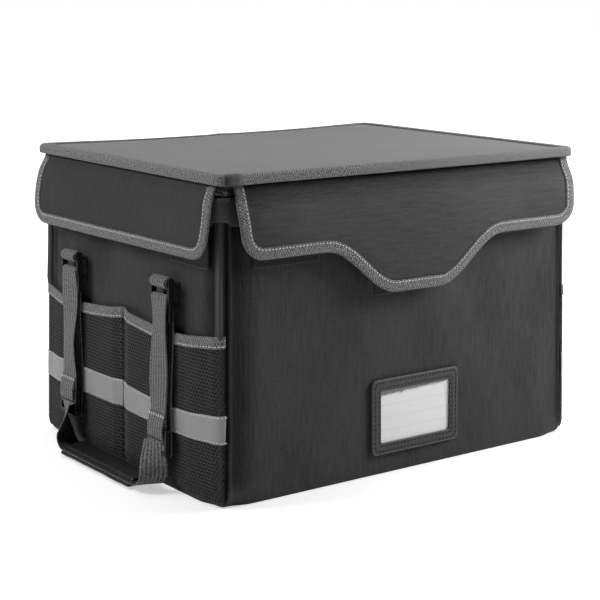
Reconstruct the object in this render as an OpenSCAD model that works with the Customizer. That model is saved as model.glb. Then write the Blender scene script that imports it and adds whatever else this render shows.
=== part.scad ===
// Portable file box: fabric-covered walls, a bound lid with three flaps, mesh pockets and webbing handles.
// Millimetres. +X to the right along the front, +Y to the back, +Z up.
// The origin is the middle of the bottom face, on the floor.

/* [Body] */
// Width at the floor, left to right
body_w = 415; // [385:1:445]
// Depth at the floor, front to back
body_d = 316; // [290:1:345]
// Height of the walls, measured up their faces
wall_h = 266; // [250:1:285]
// Inward lean of each wall, in degrees
wall_lean = 1.2; // [0.8:0.1:1.6]
// Radius of the upright corners
corner_r = 11; // [9:0.5:14]

/* [Wall layers] */
// Thickness of the outer fabric cover
cover_t = 1.2; // [0.8:0.1:1.6]
// Thickness of the stiffening boards
board_t = 3; // [2:0.5:4]
// Thickness of the inner lining
lining_t = 0.8; // [0.5:0.1:1.2]
// Height of the folded hem round the rim
hem_h = 24; // [18:1:30]
// Thickness of the hem fabric
hem_t = 1; // [0.6:0.1:1.2]
// Height of the soft collar between the hem and the lid
collar_h = 10; // [8:1:14]
// Thickness of the bottom cover
bottom_t = 1.5; // [1:0.1:2.5]
// Thickness of the loose base board
base_board_t = 4; // [3:0.5:6]
// Gap between the two half boards at a side wall's fold seam
fold_gap = 4; // [2:0.5:8]

/* [Hanging rails] */
// Thickness of the rail's sheet
rail_t = 1; // [0.8:0.1:1.2]
// Depth of the legs that grip the rim
rail_leg = 14; // [10:1:20]
// Height of the ridge that folder hooks ride on
rail_ridge = 6; // [4:0.5:7]

/* [Lid] */
// Overhang of the lid past the side walls' top edge
lid_side_over = 4.1; // [3.5:0.1:6]
// Overhang past the front wall's top edge
lid_front_over = 8.1; // [6:0.1:12]
// Overhang past the back wall's top edge
lid_back_over = 14.2; // [12:0.1:16]
// Thickness at the edge binding
lid_t = 9; // [8:0.5:12]
// Radius of the lid's corners
lid_corner_r = 12; // [8:0.5:20]
// Thickness of the lid's board
lid_board_t = 4; // [3:0.5:5]
// Thickness of the lid's top cover
lid_cover_t = 1; // [0.6:0.1:1.4]
// Width of edge binding that shows on a face
bind_w = 10.5; // [8:0.5:13]
// Depth of lid edge that is folded into the binding
bind_fold = 4; // [3:0.5:6]

/* [Hinge] */
// Length of the lid's fabric hinge
hinge_l = 350; // [300:5:365]
// Thickness of the hinge fabric
hinge_t = 1.2; // [0.8:0.1:1.4]
// Height of hinge fabric sewn to the back wall
hinge_sewn = 20; // [12:1:26]
// Height of hinge fabric above the rim
hinge_rise = 6; // [4:0.5:7]
// Width of hinge fabric sewn under the lid
hinge_under = 9; // [6:0.5:10]

/* [Flaps] */
// Drop of the side flaps below the lid
side_drop = 66; // [55:1:72]
// Distance from the lid's front and back edges to a side flap's ends
side_end_gap = 14.6; // [12:0.1:30]
// How far a side flap's ends bow out past that
side_bow = 5; // [2:0.5:6]
// Drop of the front flap beside its lobe
front_drop = 64; // [55:1:72]
// Distance from the lid's side edges to the front flap's ends
front_end_gap = 12; // [10:0.1:26]
// How much narrower the front flap is at its lower corners, each side
front_taper = 5; // [0:0.5:10]
// Drop of the front flap's middle lobe
lobe_drop = 106; // [90:1:115]
// Half width of the lobe's lowest stretch
lobe_half = 25; // [15:1:35]
// Width of the curve from the lobe up to the flap's lower edge
lobe_run = 78; // [60:1:95]
// Radius of the flaps' lower corners
flap_corner_r = 22; // [14:1:28]
// Thickness of a flap's fabric-covered board
flap_t = 2; // [1.4:0.1:2.4]
// How far a flap stands out from the lid's edge at its lower end
flap_flare = 10; // [7:0.5:13]
// Drop over which it curves out that far
flap_curl = 72; // [55:1:80]
// Thickness that the binding adds on each face
bind_proud = 0.5; // [0.3:0.1:0.7]

/* [Loop patches] */
// Thickness of hook and loop tape
tape_t = 1; // [0.6:0.1:1.2]
// Height of a loop patch
loop_h = 25; // [20:1:30]
// Height of a hook patch
hook_h = 20; // [15:1:20]
// Length of the front wall's outer loop patches
front_loop_l = 70; // [40:1:80]
// Distance from the front wall's top corners to its outer loop patches
front_loop_edge = 32; // [20:0.5:42]
// Lower edge of the outer loop patches, on the front and side walls
outer_loop_v = 205; // [200:1:215]
// Length of the middle loop patch, under the lobe
mid_loop_l = 78; // [50:1:90]
// Lower edge of the middle loop patch
mid_loop_v = 167; // [160:1:178]
// Length of the side walls' loop patches
side_loop_l = 60; // [40:1:70]
// Distance from a side wall's top corners to its loop patches
side_loop_edge = 14.4; // [13:0.1:28]

/* [Pockets] */
// Height of the pockets' mouth at their ends
pocket_top = 151; // [130:1:155]
// Sag of the mouth in each half
pocket_sag = 5; // [0:0.5:10]
// Lower edge of the pockets
pocket_foot = 4; // [3:0.5:8]
// Room inside a pocket, from the wall to the mesh
pocket_gap = 5.6; // [5.2:0.1:8]
// Thickness of the mesh
mesh_t = 1; // [0.8:0.1:1.2]
// Distance over which the mesh comes back to the wall at its sewn ends
pocket_ramp = 20; // [14:1:34]
// Height of the pockets' top binding
pocket_bind = 10.5; // [8:0.5:14]
// Thickness that this binding adds outside the mesh
pocket_bind_t = 0.4; // [0.3:0.1:0.5]
// Lower edge of the reflective strip
strip_v = 57.5; // [45:0.5:80]
// Width of the reflective strip
strip_h = 25; // [20:1:30]
// Thickness of the reflective strip
strip_t = 0.4; // [0.3:0.1:0.5]

/* [Handles] */
// Distance of each strap from the middle of the side wall
strap_c = 81; // [70:1:95]
// Width of the webbing
web_w = 25; // [20:1:30]
// Thickness of the webbing
web_t = 1.3; // [1:0.1:1.5]
// Height of the buckles' upper bar
bar_v = 187.5; // [178:0.5:188]
// Gap between the straps and the pockets
strap_gap = 0.45; // [0.4:0.05:2]
// Radius of the buckles' upper bar
upper_bar_r = 2.6; // [2:0.1:3]
// Radius of the bar that the strap turns round
strap_bar_r = 2; // [1.6:0.1:2]
// Distance from the upper bar down to the strap's bar
bar_step = 13.5; // [13:0.5:18]
// Length of the buckle below the strap's bar
buckle_tail = 20; // [12:1:26]
// Thickness of a buckle
buckle_t = 3.2; // [2.6:0.1:3.6]
// Width of a buckle's or slider's side bars
side_bar = 2.6; // [2:0.1:3.5]
// Height of the sliders' middle
slider_v = 47; // [46:1:60]
// Height of a slider
slider_h = 24; // [18:1:26]
// Thickness of a slider's front and rear bars
slider_bar_t = 1.4; // [1:0.1:1.6]
// Height where the webbing starts to twist towards the grip
twist_top = 34; // [30:1:34]
// Height of the webbing's loose ends, which hang behind the straps
tail_v = 30; // [28:1:60]

/* [Grip] */
// Length of the leather grip
grip_l = 124; // [100:1:128]
// Gap between the grip and the pockets
grip_gap = 1; // [0.5:0.1:4]
// Leather beyond each edge of the webbing
grip_rim = 1.2; // [1:0.1:3]
// Height of the grip's thickest part
grip_h = 9.5; // [8:0.5:14]
// Height of the grip above the floor
grip_lift = 1.5; // [1.2:0.1:4]

/* [Label] */
// Distance of the label from the middle of the front wall
label_u = 8; // [-40:1:40]
// Lower edge of the label holder
label_v = 19.7; // [12:0.1:60]
// Width of the label holder
label_w = 102.5; // [90:0.5:120]
// Height of the label holder
label_h = 69.5; // [60:0.5:80]
// Width of the frame round the window
label_rim = 10.5; // [8:0.5:14]
// Thickness of the leather backing and of the frame
leather_t = 1.2; // [0.8:0.1:1.6]
// Thickness of the card
card_t = 0.4; // [0.3:0.1:0.6]
// Thickness of the clear window
window_t = 0.4; // [0.3:0.1:0.6]
// How far the card reaches past the window, each side
card_margin = 4; // [2:0.5:6]

/* [Hidden] */
// Clearance between sewn neighbours, and of pieces that run or slide
seam_gap = 0.2;
run_gap = 0.3;
slip = 0.15;
eps = 0.01;
sin_l = sin(wall_lean);
cos_l = cos(wall_lean);
wall_t = cover_t + board_t + lining_t;
corner_t = 2;
rim_v = wall_h + hem_t;
foot_v = bottom_t + seam_gap;
top_half_w = body_w / 2 - wall_h * sin_l;
top_half_d = body_d / 2 - wall_h * sin_l;
lid_z = rim_v * cos_l + collar_h + run_gap;
lid_half_w = top_half_w + lid_side_over;
lid_front = top_half_d + lid_front_over;
lid_back = top_half_d + lid_back_over;
side_half = (lid_front + lid_back) / 2 - side_end_gap;
front_half = lid_half_w - front_end_gap;
front_loop_u = top_half_w - front_loop_edge - front_loop_l;
side_loop_u = top_half_d - side_loop_edge - side_loop_l;
lid_skin = (lid_t - lid_board_t - lid_cover_t - lining_t) / 2;
lid_mid_y = (lid_back - lid_front) / 2;
pocket_out = pocket_gap + mesh_t + max(strip_t, pocket_bind_t);
web_r = strap_bar_r + slip + web_t / 2;
bar_n = pocket_out + strap_gap + web_r + web_t / 2;
strap_v = bar_v - bar_step;
back_n = bar_n - web_r;
front_n = bar_n + web_r;
web_out = front_n + web_t / 2;
frame_u = web_w / 2 + run_gap + slip;
grip_v = grip_lift + 4.5;
grip_w = web_w + 2 * grip_rim;
grip_n = pocket_gap + mesh_t + grip_gap + grip_w / 2;
bend_r = 7;
curve_steps = 14;

// A wall's own frame: x along the wall, y up its leaning face, z outwards from its outer face.
module on_front() { translate([0, -body_d / 2, 0]) rotate([90 - wall_lean, 0, 0]) children(); }
module on_back() { rotate([0, 0, 180]) on_front() children(); }
module on_left() { rotate([0, 0, -90]) translate([0, -body_w / 2, 0]) rotate([90 - wall_lean, 0, 0]) children(); }
module on_right() { mirror([1, 0, 0]) on_left() children(); }
module both_ways() {
    children();
    mirror([1, 0, 0]) children();
}

// A box in a wall's frame, between two places along each direction
module slab(u0, u1, v0, v1, n0, n1) { translate([u0, v0, n0]) cube([u1 - u0, v1 - v0, n1 - n0]); }

// A wall layer from foot to top, whose ends lean in with the neighbouring walls
module wall_sheet(half, inset, v0, v1, n0, n1) {
    translate([0, 0, n0]) linear_extrude(n1 - n0) polygon([
        [-half + inset + v0 * sin_l, v0], [half - inset - v0 * sin_l, v0],
        [half - inset - v1 * sin_l, v1], [-half + inset + v1 * sin_l, v1]]);
}
module cover_sheet(half) { wall_sheet(half, corner_r, foot_v, wall_h, -cover_t, 0); }
module board_sheet(half) { wall_sheet(half, corner_r, foot_v, wall_h, -cover_t - board_t, -cover_t); }
module half_boards(half) {
    difference() {
        board_sheet(half);
        slab(-fold_gap / 2, fold_gap / 2, 0, wall_h + 1, -wall_t, 0);
    }
}
module lining_sheet(half) {
    wall_sheet(half, wall_t + run_gap, foot_v, wall_h, -wall_t, -cover_t - board_t);
}
module front_cover() { color("#333333") on_front() cover_sheet(body_w / 2); }
module back_cover() { color("#333333") on_back() cover_sheet(body_w / 2); }
module left_cover() { color("#3a3a3a") on_left() cover_sheet(body_d / 2); }
module right_cover() { color("#3a3a3a") on_right() cover_sheet(body_d / 2); }
module front_board() { color("#b09a78") on_front() board_sheet(body_w / 2); }
module back_board() { color("#b09a78") on_back() board_sheet(body_w / 2); }
module left_boards() { color("#b09a78") on_left() half_boards(body_d / 2); }
module right_boards() { color("#b09a78") on_right() half_boards(body_d / 2); }
module inner_lining() {
    color("#2c2c2c") {
        on_front() lining_sheet(body_w / 2);
        on_back() lining_sheet(body_w / 2);
        on_left() lining_sheet(body_d / 2 - lining_t);
        on_right() lining_sheet(body_d / 2 - lining_t);
    }
}

// A quarter ring round an upright corner, between the ends of two walls
module corner_ring(r_out, r_in, v0, v1) {
    translate([0, 0, v0]) linear_extrude(v1 - v0) difference() {
        intersection() {
            circle(r_out, $fn = 64);
            translate([seam_gap, seam_gap]) square(r_out);
        }
        circle(r_in, $fn = 64);
    }
}
module at_corner() {
    translate([body_w / 2, body_d / 2, 0]) rotate([wall_lean, -wall_lean, 0])
        translate([-corner_r, -corner_r, 0]) children();
}
module at_corners() {
    both_ways() {
        at_corner() children();
        mirror([0, 1, 0]) at_corner() children();
    }
}
module corner_seams() {
    groove = 1.6;
    color("#2b2b2b") at_corners() difference() {
        corner_ring(corner_r, corner_r - corner_t, foot_v, wall_h);
        rotate([0, 0, 45]) translate([corner_r, 0, wall_h / 2]) cube([groove, groove, 2 * wall_h], center = true);
    }
}

// The hem is a strip of fabric folded over the top of each wall
module hem_fold(half) {
    inset = corner_r + seam_gap;
    wall_sheet(half, inset, wall_h - hem_h, rim_v, 0, hem_t);
    wall_sheet(half, inset, wall_h, rim_v, -wall_t - hem_t, hem_t);
    wall_sheet(half, inset, wall_h - hem_h, rim_v, -wall_t - hem_t, -wall_t);
}
module rim_hem() {
    color("#3d3d3d") {
        on_front() hem_fold(body_w / 2);
        on_back() hem_fold(body_w / 2);
        on_left() hem_fold(body_d / 2);
        on_right() hem_fold(body_d / 2);
        at_corners() {
            corner_ring(corner_r + hem_t, corner_r + eps, wall_h - hem_h, rim_v);
            corner_ring(corner_r + hem_t, corner_r - corner_t, wall_h + eps, rim_v);
        }
    }
}
module collar_strip(half) { wall_sheet(half, corner_r + seam_gap, rim_v, rim_v + collar_h, -wall_t, 0); }
module mouth_collar() {
    color("#262626") {
        on_front() collar_strip(body_w / 2);
        on_back() collar_strip(body_w / 2);
        at_corners() corner_ring(corner_r, corner_r - wall_t, rim_v, rim_v + collar_h);
    }
}

// A flat plate with round corners, in plan
module round_plate(x0, x1, y0, y1, r, t) {
    linear_extrude(t) {
        translate([x0 + r, y0]) square([x1 - x0 - 2 * r, y1 - y0]);
        translate([x0, y0 + r]) square([x1 - x0, y1 - y0 - 2 * r]);
        for (x = [x0 + r, x1 - r], y = [y0 + r, y1 - r]) translate([x, y]) circle(r, $fn = 64);
    }
}
module bottom_cover() {
    color("#2b2b2b") round_plate(-body_w / 2, body_w / 2, -body_d / 2, body_d / 2, corner_r, bottom_t);
}
module base_board() {
    inner_w = body_w / 2 - wall_t - 2 * run_gap;
    inner_d = body_d / 2 - wall_t - 2 * run_gap;
    color("#2f2f2f") translate([0, 0, bottom_t])
        round_plate(-inner_w, inner_w, -inner_d, inner_d, corner_r - wall_t, base_board_t);
}

// A rail grips the hem of a side wall and carries the hooks of hanging folders on its ridge
module rail() {
    half = top_half_d - corner_r - 2;
    grip_out = hem_t + slip;
    grip_in = -wall_t - hem_t - slip;
    top = rim_v + slip;
    slab(-half, half, top - rail_leg, top + rail_t, grip_out, grip_out + rail_t);
    slab(-half, half, top, top + rail_t, grip_in - rail_t, grip_out + rail_t);
    slab(-half, half, top - rail_leg, top + rail_t + rail_ridge, grip_in - rail_t, grip_in);
}
module left_rail() { color("#8d9093") on_left() rail(); }
module right_rail() { color("#8d9093") on_right() rail(); }

module front_loop_patches() {
    color("#202020") on_front() {
        both_ways() slab(front_loop_u, front_loop_u + front_loop_l, outer_loop_v, outer_loop_v + loop_h, 0, tape_t);
        slab(-mid_loop_l / 2, mid_loop_l / 2, mid_loop_v, mid_loop_v + loop_h, 0, tape_t);
    }
}
module side_loops() {
    both_ways() slab(side_loop_u, side_loop_u + side_loop_l, outer_loop_v, outer_loop_v + loop_h, 0, tape_t);
}
module left_loop_patches() { color("#202020") on_left() side_loops(); }
module right_loop_patches() { color("#202020") on_right() side_loops(); }

// The label holder, from the wall outwards: backing, card, clear window, frame
card_n = leather_t + slip;
window_n = card_n + card_t + slip;
module label_plate(inset, n0, t) {
    slab(label_u - label_w / 2 + inset, label_u + label_w / 2 - inset,
        label_v + inset, label_v + label_h - inset, n0, n0 + t);
}
module label_backing() { color("#1f1f1f") on_front() label_plate(0, 0, leather_t); }
module label_card() { color("#f2f2f2") on_front() label_plate(label_rim - card_margin, card_n, card_t); }
module label_window() { color("#dfe8ee", 0.35) on_front() label_plate(label_rim - card_margin, window_n, window_t); }
module label_frame() {
    stitched = label_rim - card_margin - slip;
    color("#262626") on_front() {
        difference() {
            label_plate(0, window_n + window_t, leather_t);
            label_plate(label_rim, 0, 4 * leather_t);
        }
        difference() {
            label_plate(0, leather_t, window_n + window_t - leather_t);
            label_plate(stitched, 0, 4 * leather_t);
            slab(label_u - label_w / 2 + stitched, label_u + label_w / 2 - stitched,
                label_v + label_h / 2, label_v + label_h + 1, 0, 4 * leather_t);
        }
    }
}

// Pockets: the mesh starts sewn to the wall, stands off by pocket_gap and comes back at its other end
pocket_u0 = seam_gap + 0.5;
pocket_u1 = top_half_d - corner_r + (wall_h - pocket_top) * sin_l;
pocket_edge_n = 0.3;
pocket_steps = 24;
function ease(t) = 0.5 - 0.5 * cos(180 * max(0, min(1, t)));
function pocket_n(u) = pocket_edge_n + (pocket_gap - pocket_edge_n)
    * min(ease((u - pocket_u0) / pocket_ramp), ease((pocket_u1 - u) / pocket_ramp));
function pocket_mouth(u) = pocket_top - pocket_sag * sin(180 * (u - pocket_u0) / (pocket_u1 - pocket_u0));
pocket_us = [for (i = [0:pocket_steps]) pocket_u0 + (pocket_u1 - pocket_u0) * i / pocket_steps];

// A sheet that follows the pocket's bulge, from n_in to n_out outside the pocket's room
module bulged_sheet(n_in, n_out) {
    points = concat([for (u = pocket_us) [u, pocket_n(u) + n_in]],
        [for (i = [pocket_steps:-1:0]) [pocket_us[i], pocket_n(pocket_us[i]) + n_out]]);
    translate([0, pocket_top + 1, 0]) rotate([90, 0, 0]) linear_extrude(pocket_top + 1) polygon(points);
}
// The part of a sheet between a level foot and a height below the sagging mouth
module below_mouth(foot, below) {
    points = concat([[pocket_u1, foot], [pocket_u0, foot]],
        [for (u = pocket_us) [u, pocket_mouth(u) - below]]);
    linear_extrude(3 * pocket_gap, center = true) polygon(points);
}
module pocket_mesh() {
    intersection() {
        bulged_sheet(0, mesh_t);
        below_mouth(pocket_foot, pocket_bind);
    }
    points = concat([[pocket_u1, pocket_edge_n], [pocket_u0, pocket_edge_n]],
        [for (u = pocket_us) [u, pocket_n(u) + mesh_t / 2]]);
    translate([0, pocket_foot + mesh_t, 0]) rotate([90, 0, 0]) linear_extrude(mesh_t) polygon(points);
}
module pocket_binding() {
    difference() {
        intersection() {
            bulged_sheet(0, mesh_t + pocket_bind_t);
            below_mouth(pocket_foot, 0);
        }
        below_mouth(0, pocket_bind);
    }
}
module strip_half() {
    intersection() {
        bulged_sheet(mesh_t, mesh_t + strip_t);
        slab(0, body_d, strip_v, strip_v + strip_h, 0, 2 * pocket_gap);
    }
}
module left_pocket_front() { color("#1e1e1e") on_left() pocket_mesh(); }
module left_pocket_rear() { color("#1e1e1e") on_left() mirror([1, 0, 0]) pocket_mesh(); }
module left_pocket_binding() { color("#7a7a7a") on_left() both_ways() pocket_binding(); }
module left_reflective_strip() { color("#9a9a9a") on_left() both_ways() strip_half(); }
module right_pocket_front() { color("#1e1e1e") on_right() pocket_mesh(); }
module right_pocket_rear() { color("#1e1e1e") on_right() mirror([1, 0, 0]) pocket_mesh(); }
module right_pocket_binding() { color("#7a7a7a") on_right() both_ways() pocket_binding(); }
module right_reflective_strip() { color("#9a9a9a") on_right() both_ways() strip_half(); }

// A round bar along a wall, centred at height v and distance n
module bar(half, v, n, r) { translate([-half, v, n]) rotate([0, 90, 0]) cylinder(h = 2 * half, r = r, $fn = 48); }

// An anchor is webbing sewn to the wall and doubled round the buckle's upper bar
module anchor_loop() {
    loop_in = upper_bar_r + slip;
    loop_out = loop_in + 2 * web_t;
    sewn_l = 26;
    difference() {
        union() {
            bar(web_w / 2, bar_v, bar_n, loop_out);
            slab(-web_w / 2, web_w / 2, bar_v - web_t, bar_v + web_t, 0, bar_n - loop_in);
            slab(-web_w / 2, web_w / 2, bar_v - sewn_l, bar_v + web_t, 0, 2 * web_t);
        }
        bar(web_w, bar_v, bar_n, loop_in);
    }
}
module anchor_loops() {
    for (u = [-strap_c, strap_c]) translate([u, 0, 0]) anchor_loop();
}
module buckle() {
    half = frame_u + side_bar;
    head = upper_bar_r + 1.8;
    tail_h = 5;
    bar(frame_u + eps, bar_v, bar_n, upper_bar_r);
    bar(frame_u + eps, strap_v, bar_n, strap_bar_r);
    both_ways() difference() {
        slab(frame_u, half, strap_v - buckle_tail, bar_v + head, bar_n - upper_bar_r, bar_n + upper_bar_r);
        for (side = [-1, 1]) translate([0, 0, side * (upper_bar_r + buckle_t / 2)])
            slab(0, 2 * half, strap_v - buckle_tail - 1, strap_v - strap_bar_r, bar_n - upper_bar_r, bar_n + upper_bar_r);
    }
    slab(-frame_u - eps, frame_u + eps, strap_v - buckle_tail, strap_v - buckle_tail + tail_h,
        bar_n - buckle_t / 2, bar_n + buckle_t / 2);
}
module buckles() {
    for (u = [-strap_c, strap_c]) translate([u, 0, 0]) buckle();
}

// The webbing's centreline, from the rear tail of the front strap to the middle of the grip. Each entry holds a
// place and the direction of the webbing's width: it turns from along the wall to straight out of it.
across = [-1, 0, 0];
outward = [0, 0, 1];
grip_turn_u = grip_l / 2 + 3;
strap_path = concat(
    [[[strap_c, tail_v, back_n], across]],
    [for (i = [0:8]) let (a = 180 - 180 * i / 8)
        [[strap_c, strap_v + web_r * sin(a), bar_n + web_r * cos(a)], across]],
    [[[strap_c, twist_top + 6, front_n], across]],
    [for (i = [0:curve_steps]) let (t = i / curve_steps, a = 90 * ease(t))
        [[strap_c + (grip_turn_u + bend_r - strap_c) * ease(t),
            twist_top + (grip_v + bend_r - twist_top) * t,
            front_n + (grip_n - front_n) * ease(t)],
            [-cos(a), 0, sin(a)]]],
    [for (i = [1:6]) let (a = 90 * i / 6)
        [[grip_turn_u + bend_r * cos(a), grip_v + bend_r * (1 - sin(a)), grip_n], outward]]);
function flip(entry) = [[-entry[0][0], entry[0][1], entry[0][2]], [-entry[1][0], entry[1][1], entry[1][2]]];
whole_path = concat(strap_path, [for (i = [len(strap_path) - 1:-1:0]) flip(strap_path[i])]);

// A ribbon of webbing along a path: four corners a ring, and triangles between the rings
module ribbon(path, w, t) {
    last = len(path) - 1;
    function ring(i) = let (
        along = path[min(i + 1, last)][0] - path[max(i - 1, 0)][0],
        thick = cross(along, path[i][1]),
        side = path[i][1] * w / 2,
        up = thick / norm(thick) * t / 2)
        [path[i][0] - side - up, path[i][0] + side - up, path[i][0] + side + up, path[i][0] - side + up];
    points = [for (i = [0:last]) each ring(i)];
    sides = [for (i = [0:last - 1], k = [0:3]) let (a = 4 * i + k, b = 4 * i + (k + 1) % 4)
        each [[a, b, b + 4], [a, b + 4, a + 4]]];
    ends = [[2, 1, 0], [3, 2, 0], [4 * last, 4 * last + 1, 4 * last + 2], [4 * last, 4 * last + 2, 4 * last + 3]];
    polyhedron(points, concat(sides, ends));
}
module webbing() { ribbon(whole_path, web_w, web_t); }

// The leather is folded round the webbing, with a seam ridge along its outer half
module grip() {
    foot = grip_lift;
    inner = grip_n - grip_w / 2;
    outer = grip_n + grip_w / 2;
    top = foot + grip_h;
    profile = [[foot, inner + 3], [foot + 2.5, inner], [top - 2, inner], [top, inner + 3],
        [foot + 7, grip_n + 5.5], [foot + 7.6, grip_n + 6.5], [foot + 6.4, grip_n + 7.5],
        [foot + 3.5, outer - 0.5], [foot + 1.6, outer], [foot, outer - 1.5]];
    difference() {
        translate([-grip_l / 2, 0, 0]) rotate([90, 0, 90]) linear_extrude(grip_l) polygon(profile);
        slab(-grip_l, grip_l, grip_v - web_t / 2 - slip, grip_v + web_t / 2 + slip,
            grip_n - web_w / 2 - slip, grip_n + web_w / 2 + slip);
    }
}

// A slider rides on the strap's front layer: a rear plate, two side bars and three front bars
module slider(u) {
    half = frame_u + side_bar;
    slot_in = front_n - web_t / 2 - slip;
    slot_out = front_n + web_t / 2 + run_gap;
    low = slider_v - slider_h / 2;
    high = slider_v + slider_h / 2;
    bar_h = 4;
    window_h = (slider_h - 3 * bar_h) / 2;
    translate([u, 0, 0]) difference() {
        slab(-half, half, low, high, slot_in - slider_bar_t, slot_out + slider_bar_t);
        slab(-frame_u, frame_u, low - 1, high + 1, slot_in, slot_out);
        for (v = [low + bar_h, high - bar_h - window_h])
            slab(-frame_u, frame_u, v, v + window_h, slot_in, slot_out + 2 * slider_bar_t);
    }
}
module left_anchor_loops() { color("#7f7f7f") on_left() anchor_loops(); }
module left_buckles() { color("#161616") on_left() buckles(); }
module left_webbing() { color("#7f7f7f") on_left() webbing(); }
module left_grip() { color("#1c1c1c") on_left() grip(); }
module left_front_slider() { color("#161616") on_left() slider(strap_c); }
module left_rear_slider() { color("#161616") on_left() slider(-strap_c); }
module right_anchor_loops() { color("#7f7f7f") on_right() anchor_loops(); }
module right_buckles() { color("#161616") on_right() buckles(); }
module right_webbing() { color("#7f7f7f") on_right() webbing(); }
module right_grip() { color("#1c1c1c") on_right() grip(); }
module right_front_slider() { color("#161616") on_right() slider(strap_c); }
module right_rear_slider() { color("#161616") on_right() slider(-strap_c); }

// The lid: lining, board and top cover, with their edges folded into the binding
lining_z = lid_z + lid_skin;
board_z = lining_z + lining_t;
cover_z = board_z + lid_board_t;
module lid_plate(inset, z, t) {
    translate([0, 0, z]) round_plate(-lid_half_w + inset, lid_half_w - inset, -lid_front + inset, lid_back - inset,
        max(1, lid_corner_r - inset), t);
}
module lid_lining() { color("#2c2c2c") lid_plate(bind_w - bind_fold, lining_z, lining_t); }
module lid_board() { color("#b09a78") lid_plate(bind_w - bind_fold, board_z, lid_board_t); }
module lid_cover() { color("#848484") lid_plate(bind_w - bind_fold, cover_z, lid_cover_t); }
module lid_binding() {
    color("#7a7a7a") difference() {
        lid_plate(0, lid_z, lid_t);
        lid_plate(bind_w, lid_z - 1, lid_t + 2);
        lid_plate(bind_w - bind_fold, lining_z, lid_t - 2 * lid_skin);
    }
}

// The hinge is one strip of fabric, sewn to the back wall and under the lid's back edge
hinge_gap = 1;
module hinge_body_strip() {
    color("#2b2b2b") on_back() slab(-hinge_l / 2, hinge_l / 2, wall_h - hinge_sewn, wall_h + hinge_rise,
        hem_t, hem_t + hinge_t);
}
module hinge_lid_strip() {
    start = top_half_d + hem_t + hinge_t + hinge_gap;
    color("#2b2b2b") translate([-hinge_l / 2, start, lid_z - hinge_t])
        cube([hinge_l, hinge_under, hinge_t]);
}

// Flaps, in the frame of the lid's edge: x along the edge, y up, z outwards, with the hinge line at the origin
function flap_out(s) = flap_flare * sin(90 * min(1, s / flap_curl));
module flap_sheet(drop, n_in, n_out) {
    steps = 16;
    ss = [for (i = [0:steps]) run_gap + (drop - run_gap) * i / steps];
    points = concat([for (s = ss) [-s, flap_out(s) + n_in]], [for (i = [steps:-1:0]) [-ss[i], flap_out(ss[i]) + n_out]]);
    translate([-body_w, 0, 0]) rotate([90, 0, 90]) linear_extrude(2 * body_w) polygon(points);
}
// An outline that runs on past the hinge line, so that an inset leaves its top edge alone
above_hinge = 30;
module side_outline() {
    points = [for (s = [0:6:side_drop]) [side_half + side_bow * sin(180 * s / side_drop), -s]];
    polygon(concat([[side_half, above_hinge]], points, [[side_half, -side_drop], [-side_half, -side_drop]],
        [for (i = [len(points) - 1:-1:0]) [-points[i][0], points[i][1]]], [[-side_half, above_hinge]]));
}
function lobe_edge(u) = front_drop + (lobe_drop - front_drop) * (1 - ease((u - lobe_half) / lobe_run));
module front_outline() {
    foot_half = front_half - front_taper;
    us = [for (i = [0:18]) lobe_half + lobe_run * i / 18];
    right = concat([[front_half, above_hinge], [front_half, 0], [foot_half, -front_drop]],
        [for (i = [18:-1:0]) [us[i], -lobe_edge(us[i])]]);
    polygon(concat(right, [for (i = [len(right) - 1:-1:0]) [-right[i][0], right[i][1]]]));
}
// Rounds an outline's corners, after an inset
module softened(inset) { offset(r = flap_corner_r - inset, $fn = 48) offset(delta = -flap_corner_r) children(); }
module flap_face() { linear_extrude(6 * flap_flare, center = true) children(); }

module flap_panel(drop) {
    intersection() {
        flap_sheet(drop, -bind_proud - flap_t, -bind_proud);
        flap_face() softened(bind_w) children();
    }
}
module flap_binding(drop) {
    intersection() {
        flap_sheet(drop, -2 * bind_proud - flap_t, 0);
        flap_face() difference() {
            softened(0) children();
            softened(bind_w) children();
        }
    }
}
module hook_patch(u0, u1, foot) {
    intersection() {
        flap_sheet(lobe_drop, -bind_proud - flap_t - tape_t, -bind_proud - flap_t);
        slab(u0, u1, -foot, hook_h - foot, -flap_flare, 2 * flap_flare);
    }
}
patch_lift = bind_w + 1;
module side_hooks() {
    both_ways() hook_patch(side_loop_u, side_loop_u + side_loop_l - 12, side_drop - patch_lift);
}
module on_front_edge() { translate([0, -lid_front, lid_z]) rotate([90, 0, 0]) children(); }
module on_left_edge() { translate([-lid_half_w, lid_mid_y, lid_z]) rotate([0, 0, -90]) rotate([90, 0, 0]) children(); }
module on_right_edge() { mirror([1, 0, 0]) on_left_edge() children(); }
module front_flap_panel() { color("#454545") on_front_edge() flap_panel(lobe_drop) front_outline(); }
module front_flap_binding() { color("#7a7a7a") on_front_edge() flap_binding(lobe_drop) front_outline(); }
module front_flap_hooks() {
    color("#202020") on_front_edge() {
        both_ways() hook_patch(front_loop_u + 8, front_loop_u + front_loop_l, front_drop - patch_lift);
        hook_patch(-mid_loop_l / 2 + 8, mid_loop_l / 2 - 8, lobe_drop - patch_lift);
    }
}
module left_flap_panel() { color("#3a3a3a") on_left_edge() flap_panel(side_drop) side_outline(); }
module left_flap_binding() { color("#7a7a7a") on_left_edge() flap_binding(side_drop) side_outline(); }
module left_flap_hooks() { color("#202020") on_left_edge() side_hooks(); }
module right_flap_panel() { color("#3a3a3a") on_right_edge() flap_panel(side_drop) side_outline(); }
module right_flap_binding() { color("#7a7a7a") on_right_edge() flap_binding(side_drop) side_outline(); }
module right_flap_hooks() { color("#202020") on_right_edge() side_hooks(); }

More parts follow.
